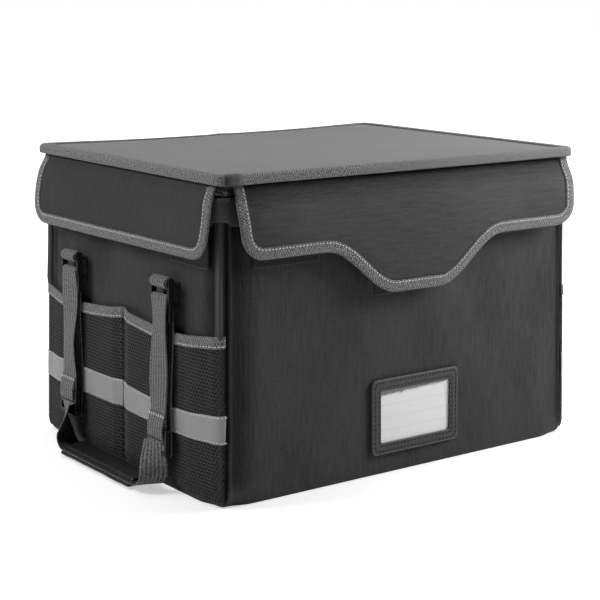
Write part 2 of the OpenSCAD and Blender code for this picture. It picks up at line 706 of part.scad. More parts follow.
front_cover();
front_board();
back_cover();
back_board();
left_cover();
left_boards();
right_cover();
right_boards();
inner_lining();
corner_seams();
rim_hem();
mouth_collar();
bottom_cover();
base_board();
left_rail();
right_rail();
front_loop_patches();
left_loop_patches();
right_loop_patches();
label_backing();
label_card();
label_window();
label_frame();
left_pocket_front();
left_pocket_rear();
left_pocket_binding();
left_reflective_strip();
right_pocket_front();
right_pocket_rear();
right_pocket_binding();
right_reflective_strip();
left_anchor_loops();
left_buckles();
left_webbing();
left_grip();
left_front_slider();
left_rear_slider();
right_anchor_loops();
right_buckles();
right_webbing();
right_grip();
right_front_slider();
right_rear_slider();
lid_board();
lid_cover();
lid_lining();
lid_binding();
hinge_body_strip();
hinge_lid_strip();
front_flap_panel();
front_flap_binding();
front_flap_hooks();
left_flap_panel();
left_flap_binding();
left_flap_hooks();
right_flap_panel();
right_flap_binding();
right_flap_hooks();
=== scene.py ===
import math
import bmesh
import bpy
import numpy as np
from mathutils import Matrix, Vector


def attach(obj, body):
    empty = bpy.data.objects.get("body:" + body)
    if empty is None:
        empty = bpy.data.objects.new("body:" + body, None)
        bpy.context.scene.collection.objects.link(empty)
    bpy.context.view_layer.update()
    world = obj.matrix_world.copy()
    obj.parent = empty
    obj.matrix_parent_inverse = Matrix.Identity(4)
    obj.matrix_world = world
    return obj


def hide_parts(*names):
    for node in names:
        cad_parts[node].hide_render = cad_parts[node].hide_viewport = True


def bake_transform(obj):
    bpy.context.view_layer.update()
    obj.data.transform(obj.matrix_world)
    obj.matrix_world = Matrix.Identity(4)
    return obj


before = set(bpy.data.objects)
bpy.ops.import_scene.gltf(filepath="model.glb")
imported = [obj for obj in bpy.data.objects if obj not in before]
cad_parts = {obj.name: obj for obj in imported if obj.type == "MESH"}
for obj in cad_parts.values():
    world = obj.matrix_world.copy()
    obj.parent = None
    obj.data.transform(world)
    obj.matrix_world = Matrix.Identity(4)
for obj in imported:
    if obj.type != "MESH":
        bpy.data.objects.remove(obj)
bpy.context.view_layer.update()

scene = bpy.context.scene
mm = 0.001
full = 2 * math.pi

# Sizes in millimetres, as the solids have them
bodySize = dict(width=415, depth=316, wallHeight=266, lean=math.radians(1.2), corner=11)
lidSize = dict(halfWidth=206.029, front=160.529, back=166.629, under=277.24, corner=12)
sinL, cosL = math.sin(bodySize["lean"]), math.cos(bodySize["lean"])
lidMidY = (lidSize["back"] - lidSize["front"]) / 2
lidHalfD = (lidSize["back"] + lidSize["front"]) / 2
bodyHalf = (bodySize["width"] / 2, bodySize["depth"] / 2, bodySize["corner"])


# Colours are written in sRGB and used in linear light
def linear(code):
    def one(c):
        return c / 12.92 if c <= 0.04045 else ((c + 0.055) / 1.055) ** 2.4
    return tuple(one(int(code[i:i + 2], 16) / 255) for i in (1, 3, 5)) + (1.0,)


# Adds one node: settings are its properties, inputs are values, or sockets and nodes to link from
def addNode(tree, kind, settings=None, inputs=None):
    node = tree.nodes.new(kind)
    for key, value in (settings or {}).items():
        setattr(node, key, value)
    for key, value in (inputs or {}).items():
        if isinstance(value, bpy.types.Node):
            value = value.outputs[0]
        if isinstance(value, bpy.types.NodeSocket):
            tree.links.new(value, node.inputs[key])
        else:
            node.inputs[key].default_value = value
    return node


def startMaterial(name, colour, roughness, sockets=None):
    material = bpy.data.materials.new(name)
    material.use_nodes = True
    tree = material.node_tree
    tree.nodes.clear()
    given = {"Base Color": linear(colour), "Roughness": roughness, **(sockets or {})}
    shader = addNode(tree, "ShaderNodeBsdfPrincipled", None, given)
    addNode(tree, "ShaderNodeOutputMaterial", None, {"Surface": shader})
    return material, tree, shader


def calc(tree, operation, *values):
    return addNode(tree, "ShaderNodeMath", {"operation": operation}, dict(enumerate(values)))


# The piece's own map, in metres: x along the cloth's length, y across it
def clothMap(tree):
    place = addNode(tree, "ShaderNodeUVMap", {"uv_map": "UVMap"})
    parts = addNode(tree, "ShaderNodeSeparateXYZ", None, {0: place})
    return place, parts.outputs[0], parts.outputs[1]


def waveOf(tree, value, pitch):
    return calc(tree, "SINE", calc(tree, "MULTIPLY", value, full / (pitch * mm)))


# A colour times a share, for the sockets that take colours
def times(colour, share):
    return tuple(min(1, c * share) for c in linear(colour)[:3]) + (1,)


# Colour that moves a little round a middle value, by a factor from 0 to 1
def tinted(tree, shader, factor, colour, low, high):
    mix = addNode(tree, "ShaderNodeMix", {"data_type": "RGBA"},
        {0: factor, 6: times(colour, low), 7: times(colour, high)})
    tree.links.new(mix.outputs[2], shader.inputs["Base Color"])


def bumped(tree, shader, height, depth, strength=1.0):
    bump = addNode(tree, "ShaderNodeBump", None, {"Height": height, "Distance": depth * mm, "Strength": strength})
    tree.links.new(bump.outputs[0], shader.inputs["Normal"])


# The colour, a code or a socket, times a lightness near 1: each part adds its amount times how far its value is from
# its middle
def shaded(tree, shader, colour, *parts):
    lightness = 0.5
    for value, middle, amount in parts:
        lightness = calc(tree, "MULTIPLY_ADD", calc(tree, "SUBTRACT", value, middle), amount / 2, lightness)
    doubled = times(colour, 2) if isinstance(colour, str) else colour
    mix = addNode(tree, "ShaderNodeMix", {"data_type": "RGBA"}, {0: lightness, 6: (0, 0, 0, 1), 7: doubled})
    tree.links.new(mix.outputs[2], shader.inputs["Base Color"])


def flatNoise(tree, place, scale, detail):
    settings = {"noise_dimensions": "2D"}
    return addNode(tree, "ShaderNodeTexNoise", settings, {0: place, "Scale": scale, "Detail": detail})


def solidNoise(tree, scale, detail):
    place = addNode(tree, "ShaderNodeTexCoord").outputs["Object"]
    return addNode(tree, "ShaderNodeTexNoise", None, {0: place, "Scale": scale, "Detail": detail})


# Plain-woven polyester oxford: matte, with slubs along the warp. The threads are 0.5 mm in the real cloth and are
# drawn coarser so that they show.
def oxford(name, colour, thread=2.2, weave=0.1, slub=1.1, cloud=0.35, depth=0.1, roughness=0.74, sheen=0.1,
        upright=True, paintedShade=0.0):
    material, tree, shader = startMaterial(name, colour, roughness,
        {"Sheen Weight": sheen, "Specular IOR Level": 0.35})
    place, along, across = clothMap(tree)
    grid = calc(tree, "MULTIPLY", waveOf(tree, along, thread), waveOf(tree, across, thread))
    stretch = (440, 40, 1) if upright else (40, 440, 1)
    streaks = addNode(tree, "ShaderNodeVectorMath", {"operation": "MULTIPLY"}, {0: place, 1: stretch})
    slubs = flatNoise(tree, streaks, 1.0, 2.0)
    grain = flatNoise(tree, place, 480.0, 2.0)
    clouds = flatNoise(tree, place, 11.0, 2.0)
    parts = [(grid, 0, weave), (slubs, 0.5, slub), (grain, 0.5, slub * 0.8), (clouds, 0.5, cloud)]
    if paintedShade:  # painted shade and painted highlight from the piece's paintedShade attribute: lower values darker, higher lighter
        parts.append((addNode(tree, "ShaderNodeAttribute", {"attribute_name": "paintedShade"}).outputs["Fac"], 0.5, paintedShade))
    shaded(tree, shader, colour, *parts)
    bumped(tree, shader, calc(tree, "ADD", grid, slubs), depth, 0.8)
    return material


# Rows of yarn that turn back at the middle of each column
def chevrons(tree, along, across, column, yarn):
    return waveOf(tree, calc(tree, "ADD", along, calc(tree, "PINGPONG", across, column * mm / 2)), yarn)


yarnLook = {"Sheen Weight": 0.15, "Specular IOR Level": 0.3}


# Herringbone tape of spun yarn: chevrons across the width, lighter on the yarns' crowns. The real yarns are 0.8 mm
# and are drawn coarser so that the weave shows.
def herringbone(name, colour, column=4.7, yarn=2.5, depth=0.4, roughness=0.85, contrast=0.6):
    material, tree, shader = startMaterial(name, colour, roughness, yarnLook)
    place, along, across = clothMap(tree)
    chevron = chevrons(tree, along, across, column, yarn)
    fuzz = flatNoise(tree, place, 520.0, 2.0)
    shaded(tree, shader, colour, (chevron, 0, contrast), (fuzz, 0.5, 2.4))
    bumped(tree, shader, calc(tree, "MULTIPLY_ADD", chevron, 0.5, fuzz), depth, 0.9)
    return material


# Polypropylene webbing: a grey face, with its back painted black as painted shade and its edges kept grey as painted
# highlight; ribs along its length. The map's second half of the way round is the grey face. Its yarns are drawn
# coarser than real so that they show.
def webbingMaterial(name="polypropyleneWebbingShadedBack", face="#747474", width=25.6):
    material, tree, shader = startMaterial(name, "#6e6e6e", 0.85, yarnLook)
    place, along, across = clothMap(tree)
    chevron = chevrons(tree, along, across, 5.0, 2.4)
    ribs = waveOf(tree, across, 3.66)
    fuzz = flatNoise(tree, place, 560.0, 2.0)
    # Painted shade: the back face, the map's first half round, is black; painted highlight: the edges stay grey
    isFace = calc(tree, "GREATER_THAN", across, (width - 0.2) * mm)
    offMiddle = calc(tree, "SUBTRACT", calc(tree, "MODULO", across, width * mm), width * mm / 2)
    edge = calc(tree, "GREATER_THAN", calc(tree, "ABSOLUTE", offMiddle), (width / 2 - 0.9) * mm)
    shadedBackTone = addNode(tree, "ShaderNodeMix", {"data_type": "RGBA"},
        {0: calc(tree, "MAXIMUM", isFace, edge), 6: times("#1c1c1c", 2), 7: times(face, 2)})
    shaded(tree, shader, shadedBackTone.outputs[2], (chevron, 0, 0.4), (ribs, 0, 0.42), (fuzz, 0.5, 2.2))
    bumped(tree, shader, calc(tree, "MULTIPLY_ADD", calc(tree, "ADD", chevron, ribs), 0.4, fuzz), 0.4, 0.9)
    return material


materials = {}
# Outer cloth of the walls: black oxford that lights up to charcoal
materials["wall"] = oxford("oxfordPolyesterWoven", "#353535", slub=0.9, cloud=0.5)
# Wall cover: the same cloth with painted shade in its hollows and painted highlight on its crests, from how far the
# cloth stands out
materials["wallShaded"] = oxford("oxfordPolyesterWovenPaintedShade", "#353535", slub=1.0, cloud=0.5, paintedShade=2.4)
# Flap cloth, with painted shadow under the lid's edge from its paintedShade attribute
materials["flap"] = oxford("oxfordPolyesterWovenFlap", "#3a3a3a", thread=3.2, weave=0.08, slub=0.9, cloud=1.0,
    depth=0.12, upright=False, paintedShade=2.1)
# Side flaps: a darker copy of the flap cloth, as painted shade, with less painted shadow under the lid
materials["sideFlap"] = oxford("oxfordPolyesterWovenSideShaded", "#333333", thread=3.2, weave=0.1, slub=0.8, cloud=0.7,
    depth=0.12, paintedShade=1.0)
# Lid cloth: the same weave, smoother and even, painted lighter for the light that falls on the lid's top
materials["lidTop"] = oxford("oxfordPaintedTopLight", "#7b7b7b", thread=2.2, weave=0.06, slub=0.3, cloud=0.15,
    depth=0.03, roughness=0.85, upright=False)
materials["lining"] = oxford("liningTaffetaWoven", "#2e2e2e", thread=2.0, weave=0.06, slub=0.3, depth=0.06,
    roughness=0.6)
# Collar cloth: thin coated nylon, which creases sharply and shines
materials["collar"] = oxford("coatedNylonCreased", "#505050", thread=2.0, slub=0.5, depth=0.05, roughness=0.24,
    sheen=0.05)
materials["hem"] = oxford("hemOxfordFolded", "#464646", slub=0.6, depth=0.1, roughness=0.55, upright=False)
materials["tape"] = herringbone("polyesterTapeHerringbone", "#7c7c7c")
materials["tapePlain"] = oxford("polyesterTapePlainJoin", "#4c4c4c", thread=1.8, weave=0.2, slub=0.6, depth=0.1,
    upright=False)
materials["webbing"] = webbingMaterial()
# The anchor tabs' webbing is drawn black all over, as painted shade behind the buckles
materials["webbingPaintedShade"] = webbingMaterial("polypropyleneWebbingAllShaded", "#222222")


# Warp-knitted polyester yarn of the pockets: dull black, with painted highlight where the loops stand up and painted
# shade down at the holes' rims
def knitMaterial():
    material, tree, shader = startMaterial("polyesterMeshWarpKnitted", "#2c2c2c", 0.6, {"Sheen Weight": 0.2})
    crown = addNode(tree, "ShaderNodeAttribute", {"attribute_name": "crown"}).outputs["Fac"]
    yarn = solidNoise(tree, 900.0, 2.0)
    shaded(tree, shader, "#424242", (crown, 0.86, 4.6), (yarn, 0.5, 2.4))
    bumped(tree, shader, yarn, 0.25)
    return material


# Glass-bead reflective tape: even satin grey with a fine grain of beads
def reflectiveMaterial():
    colour = "#a2a2a2"
    material, tree, shader = startMaterial("reflectiveTapeGlassBead", colour, 0.42, {"Specular IOR Level": 0.6})
    place = clothMap(tree)[0]
    beads = addNode(tree, "ShaderNodeTexVoronoi", {"feature": "F1"}, {0: place, "Scale": 1600.0})
    toneShift = flatNoise(tree, place, 30.0, 4.0)
    mixed = calc(tree, "ADD", calc(tree, "MULTIPLY", beads, 0.3), calc(tree, "MULTIPLY", toneShift, 0.7))
    tinted(tree, shader, mixed, colour, 0.84, 1.18)
    bumped(tree, shader, beads, 0.04)
    return material


# Split leather, dyed and embossed: small rounded grain with fine creases
def leatherMaterial(name, colour, roughness):
    material, tree, shader = startMaterial(name, colour, roughness, {"Coat Weight": 0.12, "Coat Roughness": 0.4})
    place = addNode(tree, "ShaderNodeTexCoord").outputs["Object"]
    grain = addNode(tree, "ShaderNodeTexVoronoi", {"feature": "DISTANCE_TO_EDGE"}, {0: place, "Scale": 620.0})
    crease = solidNoise(tree, 210.0, 5.0)
    height = calc(tree, "ADD", calc(tree, "MULTIPLY", grain, 1.2), calc(tree, "MULTIPLY", crease, 0.5))
    tinted(tree, shader, crease, colour, 0.7, 1.35)
    bumped(tree, shader, height, 0.22)
    return material


# Zinc-plated steel strip, rolled: fine drawn lines along its length
def railMaterial():
    colour = "#a2a5a8"
    material, tree, shader = startMaterial("zincPlatedSteelRolled", colour, 0.34, {"Metallic": 1.0})
    place = addNode(tree, "ShaderNodeTexCoord").outputs["Object"]
    drawn = addNode(tree, "ShaderNodeVectorMath", {"operation": "MULTIPLY"}, {0: place, 1: (1, 0.02, 1)})
    lines = addNode(tree, "ShaderNodeTexNoise", None, {0: drawn, "Scale": 1500.0, "Detail": 3.0})
    tinted(tree, shader, lines, colour, 0.82, 1.1)
    bumped(tree, shader, lines, 0.03)
    return material


# Clear PVC film, calendered: nearly invisible, with gloss and slow ripples
def filmMaterial():
    material, tree, shader = startMaterial("pvcFilmCalendered", "#ffffff", 0.15, {"Alpha": 0.03, "Coat Weight": 0.2})
    bumped(tree, shader, solidNoise(tree, 45.0, 1.0), 0.8)
    return material


# Index card, calendered board with faint ruled lines 12 mm apart
def cardMaterial():
    material, tree, shader = startMaterial("indexCardCalendered", "#fcfcfc", 0.7)
    place, _, across = clothMap(tree)
    cell = calc(tree, "PINGPONG", calc(tree, "ADD", across, 1.5 * mm), 5.8 * mm)
    line = calc(tree, "LESS_THAN", cell, 0.35 * mm)
    fibre = flatNoise(tree, place, 500.0, 3.0)
    shadeBy = calc(tree, "SUBTRACT", calc(tree, "MULTIPLY_ADD", fibre, 0.2, 0.8), calc(tree, "MULTIPLY", line, 0.45))
    tinted(tree, shader, shadeBy, "#fcfcfc", 0.8, 1.1)
    bumped(tree, shader, fibre, 0.02)
    return material


# One grain all through: a noise moves the colour between two shares of it and stands out by a depth in mm
def grained(name, colour, roughness, scale, detail, low, high, depth, sheen=0.0):
    material, tree, shader = startMaterial(name, colour, roughness, {"Sheen Weight": sheen})
    grain = solidNoise(tree, scale, detail)
    tinted(tree, shader, grain, colour, low, high)
    bumped(tree, shader, grain, depth)
    return material


materials["knit"] = knitMaterial()
materials["reflective"] = reflectiveMaterial()
materials["leather"] = leatherMaterial("splitLeatherEmbossed", "#1d1d1d", 0.34)
materials["labelLeather"] = leatherMaterial("splitLeatherEmbossedLabel", "#3d3d3d", 0.5)
materials["cutEdge"] = leatherMaterial("splitLeatherCutEdge", "#5c5c5c", 0.7)
materials["rail"] = railMaterial()
materials["film"] = filmMaterial()
materials["card"] = cardMaterial()
# Moulded acetal: near black, satin, with the mould's fine spark texture
materials["plastic"] = grained("acetalMoulded", "#171717", 0.36, 1400.0, 2.0, 0.85, 1.2, 0.05)
# Nylon hook and loop, napped: black, fuzzy, no shine
materials["loop"] = grained("nylonLoopNapped", "#1f1f1f", 0.92, 700.0, 4.0, 0.5, 1.7, 0.5, sheen=0.4)
materials["hook"] = grained("nylonHookMoulded", "#1f1f1f", 0.92, 1100.0, 4.0, 0.5, 1.7, 0.5, sheen=0.4)
# Hardboard, pressed: brown fibres, matte
materials["board"] = grained("hardboardPressed", "#8a6f4d", 0.8, 260.0, 6.0, 0.7, 1.3, 0.1)
# Bonded polyester sewing thread, twisted, with a fine ply; the film's painted glare has the same grain
for key, name, colour in (("filmGlare", "pvcFilmPaintedGlare", "#8e8e8e"),
        ("threadLight", "polyesterThreadGrey", "#f0f0f0"),
        ("threadMid", "polyesterThreadMidGrey", "#9c9c9c"), ("threadDark", "polyesterThreadBlack", "#111111"),
        ("threadThick", "polyesterThreadBlackThick", "#060606")):
    materials[key] = grained(name, colour, 0.6, 2500.0, 1.0, 0.8, 1.15, 0.05)
print("materials made:", len(materials))


# A smooth seeded swell from -1 to 1, for cloth that is never quite flat
def swell(a, b, wave, seed):
    random = np.random.default_rng(seed)
    total = 0
    for _ in range(6):
        turn, size, shift = random.uniform(0, full), wave * random.uniform(0.7, 1.6), random.uniform(0, full)
        total = total + np.sin((a * math.cos(turn) + b * math.sin(turn)) * full / size + shift)
    return total / 3.2


def ease(t):
    t = np.clip(t, 0, 1)
    return 0.5 - 0.5 * np.cos(math.pi * t)


# Places in a wall's own frame: u along it, v up its leaning face, n outwards
def onWall(side, u, v, n):
    u, v, n = np.broadcast_arrays(np.asarray(u, float), np.asarray(v, float), np.asarray(n, float))
    up = v * cosL + n * sinL
    if side == "front":
        return np.stack([u, -bodySize["depth"] / 2 + v * sinL - n * cosL, up], -1)
    if side == "back":
        return np.stack([-u, bodySize["depth"] / 2 - v * sinL + n * cosL, up], -1)
    x = -bodySize["width"] / 2 + v * sinL - n * cosL
    return np.stack([x if side == "left" else -x, -u, up], -1)


def onLidEdge(side, u, s, b):
    u, s, b = np.broadcast_arrays(np.asarray(u, float), np.asarray(s, float), np.asarray(b, float))
    if side == "front":
        return np.stack([u, -lidSize["front"] - b, lidSize["under"] - s], -1)
    x = -lidSize["halfWidth"] - b
    return np.stack([x if side == "left" else -x, lidMidY - u, lidSize["under"] - s], -1)


def newPiece(name, data):
    piece = bpy.data.objects.new(name, data)
    scene.collection.objects.link(piece)
    return piece


# Makes a piece from a grid of points. A direction that wraps needs one more row or column in the map.
def gridPiece(name, points, uv, material, wrapCols=False, wrapRows=False, flip=False, caps=False):
    rows, cols = points.shape[:2]
    r, c = (a.ravel() for a in np.meshgrid(np.arange(rows if wrapRows else rows - 1),
        np.arange(cols if wrapCols else cols - 1), indexing="ij"))
    corners = [(r, c), (r, c + 1), (r + 1, c + 1), (r + 1, c)]
    quads = np.stack([(i % rows) * cols + j % cols for i, j in corners], 1)
    loops = np.stack([uv[i, j] for i, j in corners], 1)
    if flip:
        quads, loops = quads[:, ::-1], loops[:, ::-1]
    faces, loops = quads.tolist(), loops.reshape(-1, 2)
    if caps:
        ends = [[i * cols for i in range(rows)][::-1], [i * cols + cols - 1 for i in range(rows)]]
        faces += [e[::-1] if flip else e for e in ends]
        loops = np.vstack([loops, np.zeros((2 * rows, 2))])
    mesh = bpy.data.meshes.new(name)
    mesh.from_pydata((points.reshape(-1, 3) * mm).tolist(), [], faces)
    mesh.uv_layers.new(name="UVMap").data.foreach_set("uv", (loops * mm).ravel())
    mesh.materials.append(materials[material])
    mesh.shade_smooth()
    return newPiece(name, mesh)


# Turns a piece's modifiers into plain mesh
def settle(piece):
    graph = bpy.context.evaluated_depsgraph_get()
    mesh = bpy.data.meshes.new_from_object(piece.evaluated_get(graph), preserve_all_data_layers=True, depsgraph=graph)
    piece.modifiers.clear()
    piece.data = mesh
    return piece


def modify(piece, kind, **settings):
    modifier = piece.modifiers.new(kind.title(), kind)
    for key, value in settings.items():
        setattr(modifier, key, value)
    return piece


def thicken(piece, depth, offset=-1):
    return settle(modify(piece, "SOLIDIFY", thickness=depth * mm, offset=offset))


def remade(mesh, change):
    work = bmesh.new()
    work.from_mesh(mesh)
    change(work)
    work.to_mesh(mesh)
    work.free()


def outwards(piece):
    remade(piece.data, lambda work: bmesh.ops.recalc_face_normals(work, faces=work.faces))
    return piece


def facing(piece, direction):
    if sum((p.normal.dot(direction) * p.area for p in piece.data.polygons), 0) < 0:
        piece.data.flip_normals()
    return piece


# Fills the holes that some edges make, each with one face that takes its map from the faces round it
def fillHoles(work, edges):
    layer = work.loops.layers.uv.active
    for face in bmesh.ops.holes_fill(work, edges=edges, sides=0)["faces"]:
        face.smooth = True
        for loop in face.loops:
            loop[layer].uv = next(other[layer].uv for other in loop.vert.link_loops if other.face is not face)
    bmesh.ops.recalc_face_normals(work, faces=work.faces)


# Closes the opening in the middle of nested rings
def fillMiddle(piece, direction):
    def fill(work):
        centre = sum((v.co for v in work.verts), Vector()) / len(work.verts)
        rims, edges = [], {e for e in work.edges if e.is_boundary}
        while edges:
            rim, grown = set(), {edges.pop()}
            while grown:
                edge = grown.pop()
                rim.add(edge)
                linked = {other for v in edge.verts for other in v.link_edges if other in edges}
                edges -= linked
                grown |= linked
            rims.append(rim)
        fillHoles(work, list(min(rims, key=lambda rim: max((v.co - centre).length for e in rim for v in e.verts))))
    remade(piece.data, fill)
    return facing(piece, direction)


# Closes a piece's open rims with one face each
def closed(piece):
    remade(piece.data, lambda work: fillHoles(work, [e for e in work.edges if e.is_boundary]))
    return piece


def place(piece, body, slot, *nodes):
    if nodes:
        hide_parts(*nodes)
    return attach(piece, body)


def lengths(points):
    return np.concatenate([[0], np.cumsum(np.linalg.norm(np.diff(points, axis=0), axis=1))])


# The lengths round a closed line, back to its first point
def roundOf(profile):
    return lengths(np.vstack([profile, profile[:1]]))


# A map that runs along a piece and across it, and one that looks straight down on its rings
def mapAlong(reach, across):
    return np.stack([np.column_stack([reach, np.full(len(reach), p)]) for p in across])


def mapFlat(rows):
    return np.stack([np.vstack([row[:, :2], row[:1, :2]]) for row in rows])


# Spaces a line's points evenly
def evenly(points, step):
    reach = lengths(points)
    at = np.linspace(0, reach[-1], max(2, int(round(reach[-1] / step)) + 1))
    return np.stack([np.interp(at, reach, points[:, k]) for k in range(points.shape[1])], 1)


# A rounded rectangle seen from above, from the middle of the back, by the left, the front and the right. Each sample
# holds how far it is towards each corner's centre, its outward direction, and its turn round a corner in degrees.
def roundRing(step, halfW, halfD, radius, turns=16):
    samples = []
    straights = [((0, 1), (-1, 1)), ((-1, 1), (-1, -1)), ((-1, -1), (1, -1)), ((1, -1), (1, 1)), ((1, 1), (0, 1))]
    normals = [(0, 1), (-1, 0), (0, -1), (1, 0), (0, 1)]
    for k, (start, end) in enumerate(straights):
        run = abs(end[0] - start[0]) * (halfW - radius) + abs(end[1] - start[1]) * (halfD - radius)
        count = max(2, int(run / step))
        for i in range(count):
            t = i / count
            samples.append((start[0] + (end[0] - start[0]) * t, start[1] + (end[1] - start[1]) * t, *normals[k], 0))
        if k < 4:
            for i in range(turns):
                angle = math.pi / 2 * (k + 1 + i / turns)
                samples.append((*end, math.cos(angle), math.sin(angle), 90 * i / turns))
    return np.array(samples)


def ringPoints(ring, halfW, halfD, radius, n=0.0):
    x = ring[:, 0] * (halfW - radius) + (radius + n) * ring[:, 2]
    y = ring[:, 1] * (halfD - radius) + (radius + n) * ring[:, 3]
    return np.stack([x, y], 1)


def ringReach(ring, halfW, halfD, radius):
    return roundOf(ringPoints(ring, halfW, halfD, radius))


def wallRing(ring, v, n):
    halfW, halfD = bodySize["width"] / 2 - v * sinL, bodySize["depth"] / 2 - v * sinL
    flat = ringPoints(ring, halfW, halfD, bodySize["corner"], n)
    return np.column_stack([flat, v * cosL + np.broadcast_to(n, len(ring)) * sinL])


bodyRing = roundRing(6, *bodyHalf, 30)
bodyReach = ringReach(bodyRing, *bodyHalf)
onCorner = bodyRing[:, 4] > 0
onFront = bodyRing[:, 3] < -0.99
onSide = np.abs(bodyRing[:, 2]) > 0.99

# How far round its corner each sample is, from a side wall at 0 to the front or back wall at 90
cornerTurn = np.where(bodyRing[:, 0] * bodyRing[:, 1] > 0, bodyRing[:, 4], 90 - bodyRing[:, 4])
# The corner seams: a ridge, a groove and a welt round each, and hollows beside them, weaker under the pockets' tops
wallLook = dict(ripple=0.5, rippleWave=85, ridge=3.2, ridgeAt=44, ridgeWide=12, welt=5.2, weltAt=87, weltWide=6,
    groove=6.8, grooveAt=69, grooveWide=5, sideDip=3.4, sideDipRun=15, frontDip=3.4, frontDipRun=30, lowShare=0.25,
    pocketTop=140, flatBelow=158, flatOut=0.22, foldDeep=0.45, foldWide=2.2, footFree=12, hemAt=238, hemIn=0.3)
foot = dict(straightHigh=3.5, straightIn=2.4, cornerHigh=15, cornerIn=9, reach=24)
fromCorner = np.where(onSide, (1 - np.abs(bodyRing[:, 1])) * (bodySize["depth"] / 2 - bodySize["corner"]),
    (1 - np.abs(bodyRing[:, 0])) * (bodySize["width"] / 2 - bodySize["corner"]))
seamShare = np.where(bodyRing[:, 0] > 0, 0.25, 1.0)


# The foot rounds in, tightly along the walls and wide at the corners. The first value says how near the corner is.
def footRound(nearness, v):
    high = foot["straightHigh"] + (foot["cornerHigh"] - foot["straightHigh"]) * nearness
    deep = foot["straightIn"] + (foot["cornerIn"] - foot["straightIn"]) * nearness
    t = np.clip(1 - v / high, 0, 1)
    return -deep * (1 - np.sqrt(1 - t * t))


ringNearness = np.where(onCorner, 1, 1 - ease(fromCorner / foot["reach"]))


# How far the wall cloth stands out at one height, all round the ring
def wallRelief(v):
    ring, look = bodyRing, wallLook
    along = bodyReach[:-1]
    n = look["ripple"] * swell(along, np.full_like(along, v), look["rippleWave"], 3)
    above = look["lowShare"] + (1 - look["lowShare"]) * ease((v - look["pocketTop"]) / 14)
    wobble = 1 + 0.18 * np.sin(v / 23 + along / 90)
    ridge = look["ridge"] * above * np.exp(-((cornerTurn - look["ridgeAt"]) / look["ridgeWide"]) ** 2)
    welt = look["welt"] * np.exp(-((cornerTurn - look["weltAt"]) / look["weltWide"]) ** 2)
    slit = look["groove"] * np.exp(-((cornerTurn - look["grooveAt"]) / look["grooveWide"]) ** 2)
    sideHollow = look["sideDip"] * above * np.exp(-((fromCorner - 4) / look["sideDipRun"] * 2) ** 2)
    frontHollow = look["frontDip"] * (1 - ease(fromCorner / look["frontDipRun"])) * ease((v - 6) / 20)
    y = ring[:, 1] * (bodySize["depth"] / 2 - v * sinL - bodySize["corner"])
    n = n - np.where(onSide, look["foldDeep"] * np.exp(-(y / look["foldWide"]) ** 2), 0)
    n = np.minimum(n, look["flatOut"]) if v < look["flatBelow"] else n
    frontDip = look["frontDip"] * ease((cornerTurn - 50) / 25) * ease((v - 6) / 20)
    sideDip = look["sideDip"] * above * ease((20 - cornerTurn) / 20)
    arc = (ridge + welt) * wobble - slit - frontDip - sideDip
    n = np.where(onCorner, arc * seamShare, n - np.where(onSide, sideHollow, frontHollow) * seamShare)
    n = np.where(v < look["footFree"], np.minimum(n, 0) * v / look["footFree"], n) + footRound(ringNearness, v)
    return n - look["hemIn"] * ease((v - look["hemAt"]) / 8)


heights = np.concatenate([[0.15, 0.5, 1.1, 2, 3.2, 4.8, 7, 9.5], np.linspace(13, bodySize["wallHeight"] - 0.5, 40)])
wallRows = np.stack([wallRing(bodyRing, v, wallRelief(v)) for v in heights])
wallCover = gridPiece("wallCover", wallRows, mapAlong(bodyReach, heights), "wallShaded", wrapCols=True)
# Painted shade and highlight: how far the cloth stands out, as the value that scales the wall's colour
wallShadeValues = np.clip(0.5 + np.stack([wallRelief(v) - footRound(ringNearness, v) for v in heights]) / 7, 0, 1)
wallCover.data.attributes.new("paintedShade", "FLOAT", "POINT").data.foreach_set("value", wallShadeValues.ravel())
thicken(wallCover, 1.2)
place(wallCover, "body", "wall_fabric", "front_cover", "back_cover", "left_cover", "right_cover", "corner_seams")

# The bottom turns in from the walls' foot and lies flat
footEdge = wallRing(bodyRing, heights[0], wallRelief(heights[0]))
footEdge[:, 2] = np.maximum(footEdge[:, 2], 0.05)
bottomRows = [footEdge] + [np.column_stack([footEdge[:, :2] * k, np.full(len(footEdge), z)])
    for k, z in ((0.998, 0.03), (0.994, 0.02), (0.97, 0.02), (0.9, 0.02), (0.7, 0.02), (0.45, 0.02), (0.2, 0.02))]
bottomCover = gridPiece("bottomCover", np.stack(bottomRows), mapFlat(bottomRows), "wall", wrapCols=True, flip=True)
fillMiddle(bottomCover, Vector((0, 0, -1)))
place(bottomCover, "body", "wall_fabric", "bottom_cover")
print("walls and bottom made")

